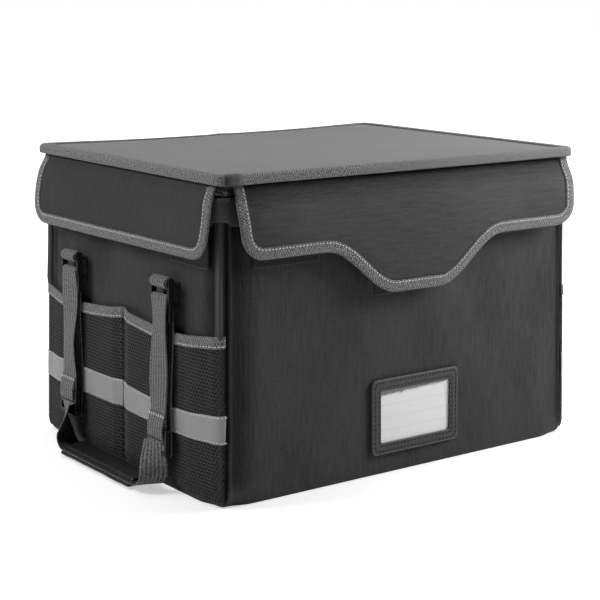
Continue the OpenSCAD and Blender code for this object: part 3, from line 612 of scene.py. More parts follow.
# The hem is folded over the rim and stands out most at the front corners, where four layers meet
hemLook = dict(bulge=2.2, bulgeMore=1.2, wave=0.25, lift=1.5, backFlat=0.8)
hemProfile = np.array([(0.0, 241.6), (0.75, 241.8), (1.0, 244), (1.05, 254), (1.0, 264), (0.6, 266.6), (-1.5, 267.1),
    (-4.6, 267.1), (-5.9, 266.4), (-6.05, 262), (-6.05, 246), (-5.9, 242.2), (-5.2, 241.8), (-4.9, 246),
    (-4.9, 264.5), (-0.2, 264.5), (-0.1, 246)])
hemBulge = np.where(onCorner & (bodyRing[:, 1] < 0),
    hemLook["bulge"] + hemLook["bulgeMore"] * np.sin(np.radians(bodyRing[:, 4] * 2)), 0.0)
hemBulge = np.convolve(np.concatenate([hemBulge[-6:], hemBulge, hemBulge[:6]]), np.ones(5) / 5, "same")[6:-6]
hemRows = []
for n, v in hemProfile:
    outer = ease((n + 0.3) / 1.0) * (0.55 + 0.45 * math.sin(math.pi * (v - 241) / 26))
    wavy = hemLook["wave"] * swell(bodyReach[:-1], np.full(len(bodyRing), v), 40, 8) * outer
    cornerLift = hemLook["lift"] * hemBulge * (1 - ease((v - 243) / 14))
    row = wallRing(bodyRing, v + cornerLift, n + hemBulge * outer + np.minimum(wavy, 0.08))
    # Flatter at the back, where the open lid's edge comes down
    row[:, 1] -= hemLook["backFlat"] * outer * ease((row[:, 1] - 150) / 1.5)
    hemRows.append(row)
hemUv = mapAlong(bodyReach, roundOf(hemProfile))
hemBand = gridPiece("hemBand", np.stack(hemRows), hemUv, "hem", wrapCols=True, wrapRows=True)
place(outwards(hemBand), "body", "wall_fabric", "rim_hem")


# Soft gussets between the hem and the lid, gathered at the corners
gussetLook = dict(foot=1.1, rise=9.6, inset=2.5, fold=1.5, crumple=0.35, cornerCrumple=3.0, cornerOut=3.4, cloth=22)


def gusset(name, keep, nodes):
    look = gussetLook
    index = np.where(keep)[0]
    if name.startswith("back"):
        split = np.where(np.diff(index) > 1)[0][0] + 1
        index = np.concatenate([index[split:], index[:split]])
    ring = bodyRing[index]
    along = lengths(ringPoints(ring, *bodyHalf))
    gather = (ring[:, 4] > 0) * np.sin(np.radians(ring[:, 4] * 2))
    rows, uvs = [], []
    for t in np.linspace(0, 1, 26):
        v = bodySize["wallHeight"] + look["foot"] + look["rise"] * t
        fold = np.sin(full * (1.1 * t + 0.12 * np.sin(along / 17)))
        crumple = swell(along, np.full_like(along, 60 * t), 9, 21)
        crumple = crumple * (look["crumple"] + look["cornerCrumple"] * gather)
        middle = math.sin(math.pi * t)
        n = -look["inset"] + look["fold"] * fold * middle + crumple * middle + look["cornerOut"] * gather * middle
        points = wallRing(ring, v, n)
        points[:, 2] = np.minimum(points[:, 2], lidSize["under"] - 0.1)
        rows.append(points)
        uvs.append(np.column_stack([along, np.full_like(along, look["cloth"] * t)]))
    piece = gridPiece(name, np.stack(rows), np.stack(uvs), "collar")
    place(thicken(piece, 0.5, 0), "body", "wall_fabric", *nodes)


nearFront = onCorner & (bodyRing[:, 3] < 0) | onFront
gusset("frontGusset", nearFront, ["mouth_collar"])
gusset("backGusset", onCorner & (bodyRing[:, 3] > 0) | (bodyRing[:, 3] > 0.99), [])

# The lining hangs inside the walls, and the base board lies on the bottom, wrapped in the same cloth
innerRing = roundRing(8, *bodyHalf, 8)
innerReach = ringReach(innerRing, *bodyHalf)
liningHeights = np.linspace(3, 262, 34)
liningOut = [-4.75 - 0.2 * (1 + swell(innerReach[:-1], np.full(len(innerRing), v), 60, 5)) for v in liningHeights]
liningRows = np.stack([wallRing(innerRing, v, n) for v, n in zip(liningHeights, liningOut)])
liningUv = mapAlong(innerReach, liningHeights)
innerLining = gridPiece("innerLining", liningRows, liningUv, "lining", wrapCols=True, flip=True)
place(thicken(innerLining, 0.4), "body", "lining_fabric", "inner_lining")

baseBoard = dict(halfW=201.4, halfD=151.9, corner=6)
boardRing = roundRing(12, *baseBoard.values(), 6)
boardRows = []
for inset, z in [(130, 1.6), (30, 1.6), (2, 1.6), (0.6, 2.0), (0, 3.2), (0, 4.3), (0.6, 5.2), (2, 5.5), (30, 5.5),
        (70, 5.5), (130, 5.5), (148, 5.5)]:
    flat = ringPoints(boardRing, baseBoard["halfW"] - inset, baseBoard["halfD"] - inset,
        max(0.5, baseBoard["corner"] - inset))
    boardRows.append(np.column_stack([flat, np.full(len(boardRing), z)]))
boardWrap = gridPiece("wrappedBaseBoard", np.stack(boardRows), mapFlat(boardRows), "lining", wrapCols=True)
place(closed(boardWrap), "body", "lining_fabric", "base_board")
print("hem, gussets and lining made")


# The lid sags behind its hinge, where its edge is free, with a small bump near the middle
droopLook = dict(start=126, run=40, deep=3.4, middle=5, half=160, bump=0.8, bumpAt=6, bumpWide=9)


def lidDroop(x, y):
    look = droopLook
    t = np.clip((y - look["start"]) / look["run"], 0, 1) ** 2
    sag = -look["deep"] * np.exp(-((x - look["middle"]) / look["half"]) ** 4)
    return t * (sag + look["bump"] * np.exp(-((x - look["bumpAt"]) / look["bumpWide"]) ** 2))


lidRing = roundRing(5, lidSize["halfWidth"], lidHalfD, lidSize["corner"], 16)
lidReach = ringReach(lidRing, lidSize["halfWidth"], lidHalfD, lidSize["corner"])
tapeProfile = np.array([(-10.6, 7.5), (-10.6, 8.5), (-10.1, 8.95), (-9, 9.1), (-6, 9.15), (-3.4, 9.0), (-1.4, 8.2),
    (-0.3, 6.6), (0, 4.5), (-0.05, 2.2), (-0.1, 1.2), (-0.5, 0.35), (-1.5, 0.03), (-3.4, 0.0), (-6, 0.0), (-9, 0.0),
    (-10.1, 0.15), (-10.6, 0.5), (-10.6, 1.5), (-7, 1.5), (-7, 7.5)])


def lidPoints(ring, inset, z):
    flat = ringPoints(ring, lidSize["halfWidth"] - inset, lidHalfD - inset, max(1.0, lidSize["corner"] - inset))
    y = flat[:, 1] + lidMidY
    return np.column_stack([flat[:, 0], y, lidSize["under"] + z + lidDroop(flat[:, 0], y)])


def lidBand(name, ring, reach, profile, material, wrap):
    rows = np.stack([lidPoints(ring, -n, z + (0.12 * swell(reach[:len(ring)], z * 3, 30,
        12) if 1 < z < 9 else 0)) for n, z in profile])
    uv = mapAlong(reach[:len(ring) + wrap], roundOf(profile))
    return outwards(gridPiece(name, rows, uv, material, wrapCols=bool(wrap), wrapRows=True, caps=not wrap))


lidTape = lidBand("lidBinding", lidRing, lidReach, tapeProfile, "tape", 1)
place(lidTape, "lid", "binding_tape", "lid_binding")
# The tape's ends meet just past the front left corner, under a plain overlap
cornerAt = np.where((lidRing[:, 0] == -1) & (lidRing[:, 1] == -1) & (lidRing[:, 4] > 0))[0]
joinRing = lidRing[cornerAt[9]:cornerAt[-1] + 4]
joinProfile = tapeProfile + np.array([(0.2 if -10 < n else 0, 0.2 * np.sign(z - 4.5) if n > -10 else 0) for n,
    z in tapeProfile])
lidJoin = lidBand("lidBindingJoin", joinRing, lidReach[cornerAt[9]:], joinProfile, "tapePlain", 0)
place(lidJoin, "lid", "binding_tape")

lidInsets = [9.6, 11, 14, 20, 34, 60, 95, 130, 158]


def lidSheet(name, z, crown, material, flip, slot, *nodes):
    rows = []
    for inset in lidInsets:
        row = lidPoints(lidRing, inset, z + crown * ease((inset - 9.6) / 60))
        row[:, 2] += 0.25 * swell(row[:, 0], row[:, 1], 150, 31) * ease((inset - 12) / 30) * np.sign(crown)
        rows.append(row)
    piece = gridPiece(name, np.stack(rows), mapFlat(rows), material, wrapCols=True, flip=flip)
    fillMiddle(piece, Vector((0, 0, 1 if crown > 0 else -1)))
    place(piece, "lid", slot, *nodes)


lidSheet("lidTopCloth", 7.45, 0.5, "lidTop", False, "lid_fabric", "lid_cover")
lidSheet("lidLiningCloth", 1.55, -0.3, "lining", True, "lining_fabric", "lid_lining")
print("lid made")

# Flaps
flapLook = dict(flare=10, curl=72, corner=22)
sideFlap = dict(drop=66, half=149, bow=5)
frontFlap = dict(drop=64, half=194, taper=5, wider=7, lobe=106, lobeHalf=25, lobeRun=78)


def flapOut(s):
    return flapLook["flare"] * np.sin(math.pi / 2 * np.clip(s / flapLook["curl"], 0, 1))


# The right half of a flap's outline, from the middle of its lower edge up to the lid
def halfOutline(isFront):
    s = np.linspace(0.3, (frontFlap if isFront else sideFlap)["drop"], 120)
    if isFront:
        edge = np.column_stack([frontFlap["half"] - frontFlap["taper"] * s / frontFlap["drop"], s])
    else:
        edge = np.column_stack([sideFlap["half"] + sideFlap["bow"] * np.sin(math.pi * s / sideFlap["drop"]), s])
    r, foot = flapLook["corner"], s[-1]
    low, high = edge[:, 0].min() - 2 * r, edge[:, 0].max()
    for _ in range(40):
        middle = (low + high) / 2
        gap = np.linalg.norm(edge - [middle, foot - r], axis=1).min()
        low, high = (middle, high) if gap > r else (low, middle)
    touch = edge[np.linalg.norm(edge - [middle, foot - r], axis=1).argmin()]
    first = math.atan2(touch[1] - foot + r, touch[0] - middle)
    arc = np.array([(middle + r * math.cos(a), foot - r + r * math.sin(a)) for a in np.linspace(math.pi / 2, first,
        14)])
    if isFront:
        u = np.concatenate([[0], np.linspace(frontFlap["lobeHalf"], frontFlap["lobeHalf"] + frontFlap["lobeRun"],
            40)])
        rise = ease((u - frontFlap["lobeHalf"]) / frontFlap["lobeRun"])
        lower = np.column_stack([u, frontFlap["lobe"] + (foot - frontFlap["lobe"]) * rise])
    else:
        lower = np.array([(0, foot)])
    return np.vstack([lower, arc, edge[edge[:, 1] < touch[1]][::-1]])


def wholeOutline(isFront):
    half = halfOutline(isFront)
    line = np.vstack([half[::-1] * [-1, 1], half[1:]])
    return evenly(line, 2.6)


def inwardsOf(line):
    along = np.gradient(line, axis=0)
    along /= np.linalg.norm(along, axis=1)[:, None]
    return np.column_stack([along[:, 1], -along[:, 0]])


foldProfile = np.array([(10.6, -0.75), (10.4, -0.15), (9.2, 0.0), (6, 0.08), (2.4, 0.0), (0.8, -0.35), (0.05, -1.5),
    (0.8, -2.65), (2.4, -3.0), (6, -3.05), (9.2, -3.0), (10.4, -2.85), (10.6, -2.2), (7.5, -1.9), (7.5, -1.1)])
stitchRows = {}


# Notes a row of stitches for a body. The way they face is one direction, or one for each point.
def sew(body, thread, points, ways):
    points = np.asarray(points, float)
    stitchRows.setdefault((body, thread), []).append((points, np.broadcast_to(np.array(ways, float), points.shape)))


def makeFlap(side):
    isFront = side == "front"
    line = wholeOutline(isFront)
    into = inwardsOf(line)
    reach = lengths(line)
    seed = {"front": 41, "left": 42, "right": 43}[side]
    tuck = (7.5, 27) if isFront else (3.2, 18)
    shape = frontFlap if isFront else sideFlap
    # The side flaps take the darker flap cloth, which is painted shade
    cloth, slot = ("flap", "wall_fabric") if isFront else ("sideFlap", "side_fabric")

    def surface(u, s, b):
        s = np.maximum(s, 0.3)
        if isFront:
            u = u + frontFlap["wider"] * ease((u - 146) / 44) + 6 * (1 - ease(s / 27)) * ease((-u - 150) / 44)
            s = s * (1 - 0.022 * ease(-u / 150))
        else:
            s = s * (1 - 0.04 * np.clip(0.5 + u / 298, 0, 1))
        lift = 0.9 * swell(u, s, 150, seed) * ease(s / 24) - tuck[0] * (1 - ease(s / tuck[1]))
        return onLidEdge(side, u, s, flapOut(s) + b + lift)

    rows = np.stack([surface(line[:, 0] + w * into[:, 0], line[:, 1] + w * into[:, 1], b) for w, b in foldProfile])
    uv = mapAlong(reach, roundOf(foldProfile))
    tape = outwards(gridPiece(side + "FlapBinding", rows, uv, "tape", wrapRows=True, caps=True))
    place(tape, side + "_flap", "binding_tape", side + "_flap_binding")
    for w, b in ((8.7, 0.2), (8.7, -3.2)):
        row = surface(line[:, 0] + w * into[:, 0], line[:, 1] + w * into[:, 1], b)
        lifted = surface(line[:, 0] + w * into[:, 0], line[:, 1] + w * into[:, 1], b + (1 if b > 0 else -1))
        keep = line[:, 1] > 4
        sew(side + "_flap", "threadLight", row[keep], (lifted - row)[keep])

    inner = line + 8.4 * into
    turn = shape["drop"] - flapLook["corner"]
    low = inner[inner[:, 1] >= turn - 1]
    foot = evenly(low, 3)
    top = np.abs(inner[0, 0]) * foot[:, 0] / np.abs(foot[:, 0]).max()
    steps = np.linspace(0, 1, 22)
    u = top[None] + (foot[:, 0] - top)[None] * steps[:, None]
    s = 0.3 + (foot[:, 1] - 0.3)[None] * steps[:, None]
    edgeGap = np.minimum(1, np.minimum((1 - steps)[:, None] * foot[:, 1][None] / 14,
        (np.abs(foot[:, 0]).max() - np.abs(u)) / 14 + 0.1))
    points = surface(u, s, -0.9 + 0.55 * ease(edgeGap))
    panelUv = np.stack([u, -s], -1)
    panel = gridPiece(side + "FlapPanel", points, panelUv, cloth, flip=side == "right")
    # Painted shadow: the flap darkens at its top, under the lid's edge, and painted shade darkens it towards one end
    rearShade = 0.08 * (1 - ease((u + 194) / 150)) if isFront else 0.2 * (1 - ease((u + 149) / 200))
    toneShift = 0.52 - (0.42 if isFront else 0.2) * (1 - ease((s - 3) / 26)) - rearShade
    panel.data.attributes.new("paintedShade", "FLOAT", "POINT").data.foreach_set("value", toneShift.ravel())
    outward = Vector((0, -1, 0)) if isFront else Vector((-1 if side == "left" else 1, 0, 0))
    if sum((p.normal.dot(outward) for p in panel.data.polygons), 0) < 0:
        panel.data.flip_normals()
    place(thicken(panel, 1.6), side + "_flap", slot, side + "_flap_panel")

    # A soft strip sewn inside the lid's edge carries the flap
    halfWide = shape["half"] - 11
    u = np.linspace(-halfWide, halfWide, 70)
    start = 3.2 if isFront else 1.4
    path = [onLidEdge(side, u, -1.1, -start), onLidEdge(side, u, -0.35, -start - 0.7)]
    path += [onLidEdge(side, u, 0.12, -start - k * (tuck[0] + 1.7 - start)) for k in (0.3, 0.45, 0.6, 0.75, 0.9)]
    path += [surface(u, s, -1.7) for s in (0.8, 1.6)]
    strip = facing(gridPiece(side + "FlapHinge", np.stack(path), mapAlong(u, 1.2 * np.arange(len(path))), cloth),
        outward)
    thicken(strip, 0.5, 0)
    across = [Vector(onLidEdge(side, 0, 0, -k).ravel()) * mm for k in (start + 0.9, tuck[0] + 1.5)]
    tuple(across[0])
    tuple(across[1])
    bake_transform(strip)
    return surface


flapSurfaces = {side: makeFlap(side) for side in ("front", "left", "right")}
print("flaps made")


sides = {"left": Vector((-1, 0, 0)), "right": Vector((1, 0, 0)), "front": Vector((0, -1, 0)),
    "back": Vector((0, 1, 0))}


# A flat patch of tape with rounded corners, laid on a surface given by a function of (u, v, height)
def patch(name, surface, u0, u1, v0, v1, base, rise, material, radius=1.5, rim=0.35, slab=False):
    halfW, halfH = (u1 - u0) / 2, (v1 - v0) / 2
    ring = roundRing(6 if halfW > 60 else 4, halfW, halfH, radius, 4)
    rows, uvs = [], []
    middle = [k * min(halfW, halfH) for k in (0.12, 0.4, 0.7, 0.95)]
    levels = ([(k, 0) for k in middle[::-1]] if slab else []) + [(0.3, 0), (0, 0.15), (0, rise - rim),
        (rim, rise)] + [(k, rise) for k in middle]
    for inset, height in levels:
        flat = ringPoints(ring, halfW - inset, halfH - inset, max(0.2, radius - inset))
        rows.append(surface(flat[:, 0] + (u0 + u1) / 2, flat[:, 1] + (v0 + v1) / 2, base + height))
        uvs.append(np.vstack([flat, flat[:1]]))
    piece = gridPiece(name, np.stack(rows), np.stack(uvs), material, wrapCols=True)
    return closed(piece) if slab else fillMiddle(piece, sides["front"])


def joinPieces(name, parts):
    bm = bmesh.new()
    for part in parts:
        bm.from_mesh(part.data)
    mesh = parts[0].data
    bm.to_mesh(mesh)
    bm.free()
    for part in parts[1:]:
        bpy.data.objects.remove(part)
    parts[0].name = name
    return parts[0]


def patchSet(name, surface, boxes, base, rise, material, body, node, direction, border=2.0):
    parts = []
    for k, (u0, u1, v0, v1) in enumerate(boxes):
        parts.append(facing(patch(name + str(k), surface, u0, u1, v0, v1, base, rise, material), direction))
        ring = roundRing(4, (u1 - u0) / 2 - border, (v1 - v0) / 2 - border, 1, 2)
        flat = ringPoints(ring, (u1 - u0) / 2 - border, (v1 - v0) / 2 - border, 1)
        flat = np.vstack([flat, flat[:1]]) + [(u0 + u1) / 2, (v0 + v1) / 2]
        row = surface(flat[:, 0], flat[:, 1], base + rise + 0.1 * np.sign(rise))
        sew(body, "threadDark", row, direction)
    place(joinPieces(name, parts), body, "hook_and_loop", node)


patchSet("frontLoopPatches", lambda u, v, n: onWall("front", u, v, n),
    [(-170, -100, 205, 230), (100, 170, 209, 230), (-39, 39, 167, 192)], 0.1, 0.55, "loop", "body",
    "front_loop_patches", sides["front"])
for side in ("left", "right"):
    patchSet(side + "LoopPatches", lambda u, v, n: onWall(side, u, v, n),
        [(-138, -78, 205, 230), (78, 138, 205, 230)], 0.1, 0.55, "loop", "body", side + "_loop_patches", sides[side])
    patchSet(side + "FlapHooks", lambda u, v, n: flapSurfaces[side](u, -v, n),
        [(-126, -78, -54.5, -34.5), (78, 126, -54.5, -34.5)], -2.55, -0.9, "hook", side + "_flap",
        side + "_flap_hooks", -sides[side])
patchSet("frontFlapHooks", lambda u, v, n: flapSurfaces["front"](u, -v, n),
    [(-170, -108, -52.5, -32.5), (108, 170, -52.5, -32.5), (-31, 31, -94.5, -74.5)], -2.55, -0.9, "hook",
    "front_flap", "front_flap_hooks", -sides["front"])
print("hook and loop patches made")

# Hardboard in the walls, in two halves beside the side walls' fold, and in the lid
boardSize = dict(low=8, high=262, inner=-4.3, thick=2.9)
for side in ("front", "back", "left", "right"):
    isHalved = side in ("left", "right")
    endU = bodySize["depth"] / 2 - 30 if isHalved else bodySize["width"] / 2 - 36
    spans = [(-1, -0.012), (0.012, 1)] if isHalved else [(-1, 1)]
    halves = [patch(f"{side}Board{k}", lambda u, v, n: onWall(side, u, v, n), endU * a, endU * b, boardSize["low"],
        boardSize["high"], boardSize["inner"], boardSize["thick"], "board", slab=True) for k,
        (a, b) in enumerate(spans)]
    whole = joinPieces(side + "WallBoards", halves)
    place(whole, "body", "fibreboard", side + ("_boards" if isHalved else "_board"))
boardInsets = [11.6, 14, 20, 27, 34, 46, 60, 95, 130, 150]
lidBoardRows = [lidPoints(lidRing, inset, z) for inset, z in
    [(k, 2.1) for k in boardInsets[::-1]] + [(11, 2.6), (11, 6.5)] + [(k, 7.0) for k in boardInsets]]
lidBoard = closed(gridPiece("lidBoard", np.stack(lidBoardRows), mapFlat(lidBoardRows), "board", wrapCols=True))
place(lidBoard, "lid", "fibreboard", "lid_board")
print("boards made")

# Pockets: a knitted net that stands off the wall, a folded tape along its mouth and a reflective strip across it.
# Each runs from the fold seam round the wall's rounded end.
pocket = dict(start=0.6, turn=66, top=151, sag=6.5, foot=4, gap=4.6, seamGap=1.3, ramp=15, fall=34, edge=0.35,
    stripLow=57.5, stripHigh=82.5, holePitch=3.6, holeSize=0.6, dip=0.9)


def wallStraight(v):
    return bodySize["depth"] / 2 - bodySize["corner"] - v * sinL


def pocketEnd(v):
    return wallStraight(v) + bodySize["corner"] * math.radians(pocket["turn"])


# A side wall's own frame that goes on round its rounded ends
def roundWall(side, u, v, n):
    u, v, n = np.broadcast_arrays(np.asarray(u, float), np.asarray(v, float), np.asarray(n, float))
    flat = onWall(side, u, v, n)
    straight, radius = wallStraight(v), bodySize["corner"]
    angle = np.maximum(0, np.abs(u) - straight) / radius
    x = bodySize["width"] / 2 - v * sinL - radius + (radius + n) * np.cos(angle)
    y = straight + (radius + n) * np.sin(angle)
    bent = np.stack([x * (-1 if side == "left" else 1), -np.sign(u) * y, v * cosL + n * sinL], -1)
    return np.where((angle > 0)[..., None], bent, flat)


def pocketOut(u, v):
    rise = np.minimum(ease((u - pocket["start"]) / pocket["ramp"]), ease((wallStraight(v) + 2 - u) / pocket["fall"]))
    low = pocket["edge"] + (pocket["seamGap"] - pocket["edge"]) * ease(1 - (u - pocket["start"]) / 60)
    bottom = 0.2 + 0.8 * ease((v - pocket["foot"]) / 12)
    soft = 0.35 * swell(u, v, 55, 61) * rise
    nearness = 1 - ease((wallStraight(v) - u) / foot["reach"])
    return np.maximum(low + (pocket["gap"] - low) * rise, 0) * bottom + np.minimum(soft,
        0.15) + pocket["edge"] * (1 - bottom) + footRound(nearness, v)


def along(u, v):
    return np.clip((u - pocket["start"]) / (pocketEnd(v) - pocket["start"]), 0, 1)


def pocketMouth(u):
    return pocket["top"] - pocket["sag"] * np.sin(math.pi * along(u, pocket["top"]))


# Starts a node group that reads a mesh, some numbers, a seed and a material
def startTree(name, seed=None, **numbers):
    tree = bpy.data.node_groups.new(name, "GeometryNodeTree")

    def socket(label, kind, way="INPUT"):
        return tree.interface.new_socket(label, in_out=way, socket_type="NodeSocket" + kind)
    socket("Geometry", "Geometry")
    for label, value in numbers.items():
        socket(label, "Float").default_value = value
    if seed is not None:
        socket("Seed", "Int").default_value = seed
    socket("Material", "Material")
    socket("Geometry", "Geometry", "OUTPUT")
    return tree, addNode(tree, "NodeGroupInput").outputs


def finishTree(tree, geometry, given):
    smooth = addNode(tree, "GeometryNodeSetShadeSmooth", None, {"Geometry": geometry})
    dressed = addNode(tree, "GeometryNodeSetMaterial", None, {"Geometry": smooth, "Material": given["Material"]})
    addNode(tree, "NodeGroupOutput", None, {0: dressed})
    return tree


# The net: staggered cells with a hole in each, dropped on the carrier along the wall's normal
def netTree():
    tree, given = startTree("knittedNet", Pitch=3.0 * mm, Hole=0.56, Dip=0.9 * mm, Width=142.0 * mm,
        Height=150.0 * mm)
    pitch, rowStep = given["Pitch"], calc(tree, "MULTIPLY", given["Pitch"], 0.8660254)
    countX = calc(tree, "DIVIDE", given["Width"], pitch)
    countY = calc(tree, "DIVIDE", given["Height"], rowStep)
    grid = addNode(tree, "GeometryNodeMeshGrid", None, {"Vertices X": countX, "Vertices Y": countY,
        "Size X": calc(tree, "MULTIPLY", calc(tree, "SUBTRACT", calc(tree, "FLOOR", countX), 1.0), pitch),
        "Size Y": calc(tree, "MULTIPLY", calc(tree, "SUBTRACT", calc(tree, "FLOOR", countY), 1.0), rowStep)})
    index = addNode(tree, "GeometryNodeInputIndex")
    rows = calc(tree, "FLOOR", countY)
    odd = calc(tree, "MODULO", calc(tree, "MODULO", index, rows), 2.0)
    shift = addNode(tree, "ShaderNodeCombineXYZ", None,
        {0: calc(tree, "MULTIPLY_ADD", odd, calc(tree, "MULTIPLY", pitch, 0.5),
        calc(tree, "MULTIPLY", given["Width"], 0.5)), 1: calc(tree, "MULTIPLY", given["Height"], 0.5), 2: 0.0})
    moved = addNode(tree, "GeometryNodeSetPosition", None, {"Geometry": grid.outputs["Mesh"], "Offset": shift})
    rim = addNode(tree, "GeometryNodeMeshCircle", {"fill_type": "NGON"},
        {"Vertices": 6, "Radius": calc(tree, "MULTIPLY", pitch, 0.57735)})
    pressed = addNode(tree, "GeometryNodeExtrudeMesh", {"mode": "FACES"},
        {"Mesh": rim, "Offset Scale": 0.0, "Individual": True})
    shrunk = addNode(tree, "GeometryNodeScaleElements", None,
        {"Geometry": pressed.outputs["Mesh"], "Selection": pressed.outputs["Top"],
        "Scale": given["Hole"]})
    sunk = addNode(tree, "GeometryNodeSetPosition", None, {"Geometry": shrunk, "Selection": pressed.outputs["Top"],
        "Offset": addNode(tree, "ShaderNodeCombineXYZ", None, {2: calc(tree, "MULTIPLY", given["Dip"], -1.0)})})
    holed = addNode(tree, "GeometryNodeDeleteGeometry", {"domain": "FACE", "mode": "ONLY_FACE"},
        {"Geometry": sunk, "Selection": pressed.outputs["Top"]})
    turned = addNode(tree, "GeometryNodeTransform", None, {"Geometry": holed, "Rotation": (0, 0, math.radians(30))})
    cells = addNode(tree, "GeometryNodeInstanceOnPoints", None, {"Points": moved, "Instance": turned})
    real = addNode(tree, "GeometryNodeRealizeInstances", None, {0: cells})
    merged = addNode(tree, "GeometryNodeMergeByDistance", None, {"Geometry": real, "Distance": 0.0001})
    here = addNode(tree, "GeometryNodeInputPosition")
    parts = addNode(tree, "ShaderNodeSeparateXYZ", None, {0: here})
    above = addNode(tree, "ShaderNodeCombineXYZ", None, {0: parts.outputs[0], 1: parts.outputs[1], 2: 0.05})
    ray = addNode(tree, "GeometryNodeRaycast", None, {"Target Geometry": given["Geometry"], "Source Position": above,
        "Ray Direction": (0, 0, -1), "Ray Length": 0.2})
    missed = addNode(tree, "FunctionNodeBooleanMath", {"operation": "NOT"}, {0: ray.outputs["Is Hit"]})
    kept = addNode(tree, "GeometryNodeDeleteGeometry", {"domain": "POINT"}, {"Geometry": merged, "Selection": missed})
    lifted = addNode(tree, "ShaderNodeVectorMath", {"operation": "ADD"}, {0: ray.outputs["Hit Position"],
        1: addNode(tree, "ShaderNodeCombineXYZ", None, {2: parts.outputs[2]})})
    laid = addNode(tree, "GeometryNodeSetPosition", None, {"Geometry": kept, "Position": lifted})
    return finishTree(tree, laid, given)


def runTree(piece, tree, **values):
    modifier = piece.modifiers.new(tree.name, "NODES")
    modifier.node_group = tree
    names = {item.name: item.identifier for item in tree.interface.items_tree if item.in_out == "INPUT"}
    for label, value in values.items():
        modifier[names[label]] = value
    return settle(piece)


fractions = np.linspace(0, 1, 60)
topU = np.linspace(pocket["start"], pocketEnd(pocket["top"]) - 0.3, 90)
netV = pocket["foot"] + (pocketMouth(topU) - 3 - pocket["foot"])[None] * fractions[:, None]
netShare = (topU - pocket["start"])[None] / (pocketEnd(pocket["top"]) - pocket["start"])
netU = pocket["start"] + netShare * (pocketEnd(netV) - pocket["start"])
carrier = gridPiece("netCarrier", np.stack([netU, netV, pocketOut(netU, netV) + 0.9], -1),
    np.stack([netU, netV], -1), "knit")
runTree(carrier, netTree(), Pitch=pocket["holePitch"] * mm, Hole=pocket["holeSize"], Dip=pocket["dip"] * mm,
    Width=160 * mm, Material=materials["knit"])
netLocal = np.empty(len(carrier.data.vertices) * 3)
carrier.data.vertices.foreach_get("co", netLocal)
netLocal = netLocal.reshape(-1, 3) / mm
netFaces = [tuple(p.vertices) for p in carrier.data.polygons]
bpy.data.objects.remove(carrier)
netOut = pocketOut(netLocal[:, 0], netLocal[:, 1])
# How high each point stands in its cell, from the holes' rims at 0 to the loops' tops at 1; the net's material paints
# highlight on the tops and shade at the rims from it
crown = np.clip(1 + (netLocal[:, 2] - netOut - 0.9) / pocket["dip"], 0, 1)
netFloor = footRound(1 - ease((wallStraight(netLocal[:, 1]) - netLocal[:, 0]) / foot["reach"]), netLocal[:, 1])
netLocal[:, 2] = np.maximum(netLocal[:, 2], netFloor + 0.12)
netWide, netHigh = (pocketEnd(pocket["foot"]) - pocket["start"]) * mm, (pocket["top"] - 3 - pocket["foot"]) * mm


def looseMesh(name, points, faces, material):
    mesh = bpy.data.meshes.new(name)
    mesh.from_pydata((points * mm).tolist(), [], faces)
    mesh.materials.append(materials[material])
    mesh.shade_smooth()
    return newPiece(name, mesh)


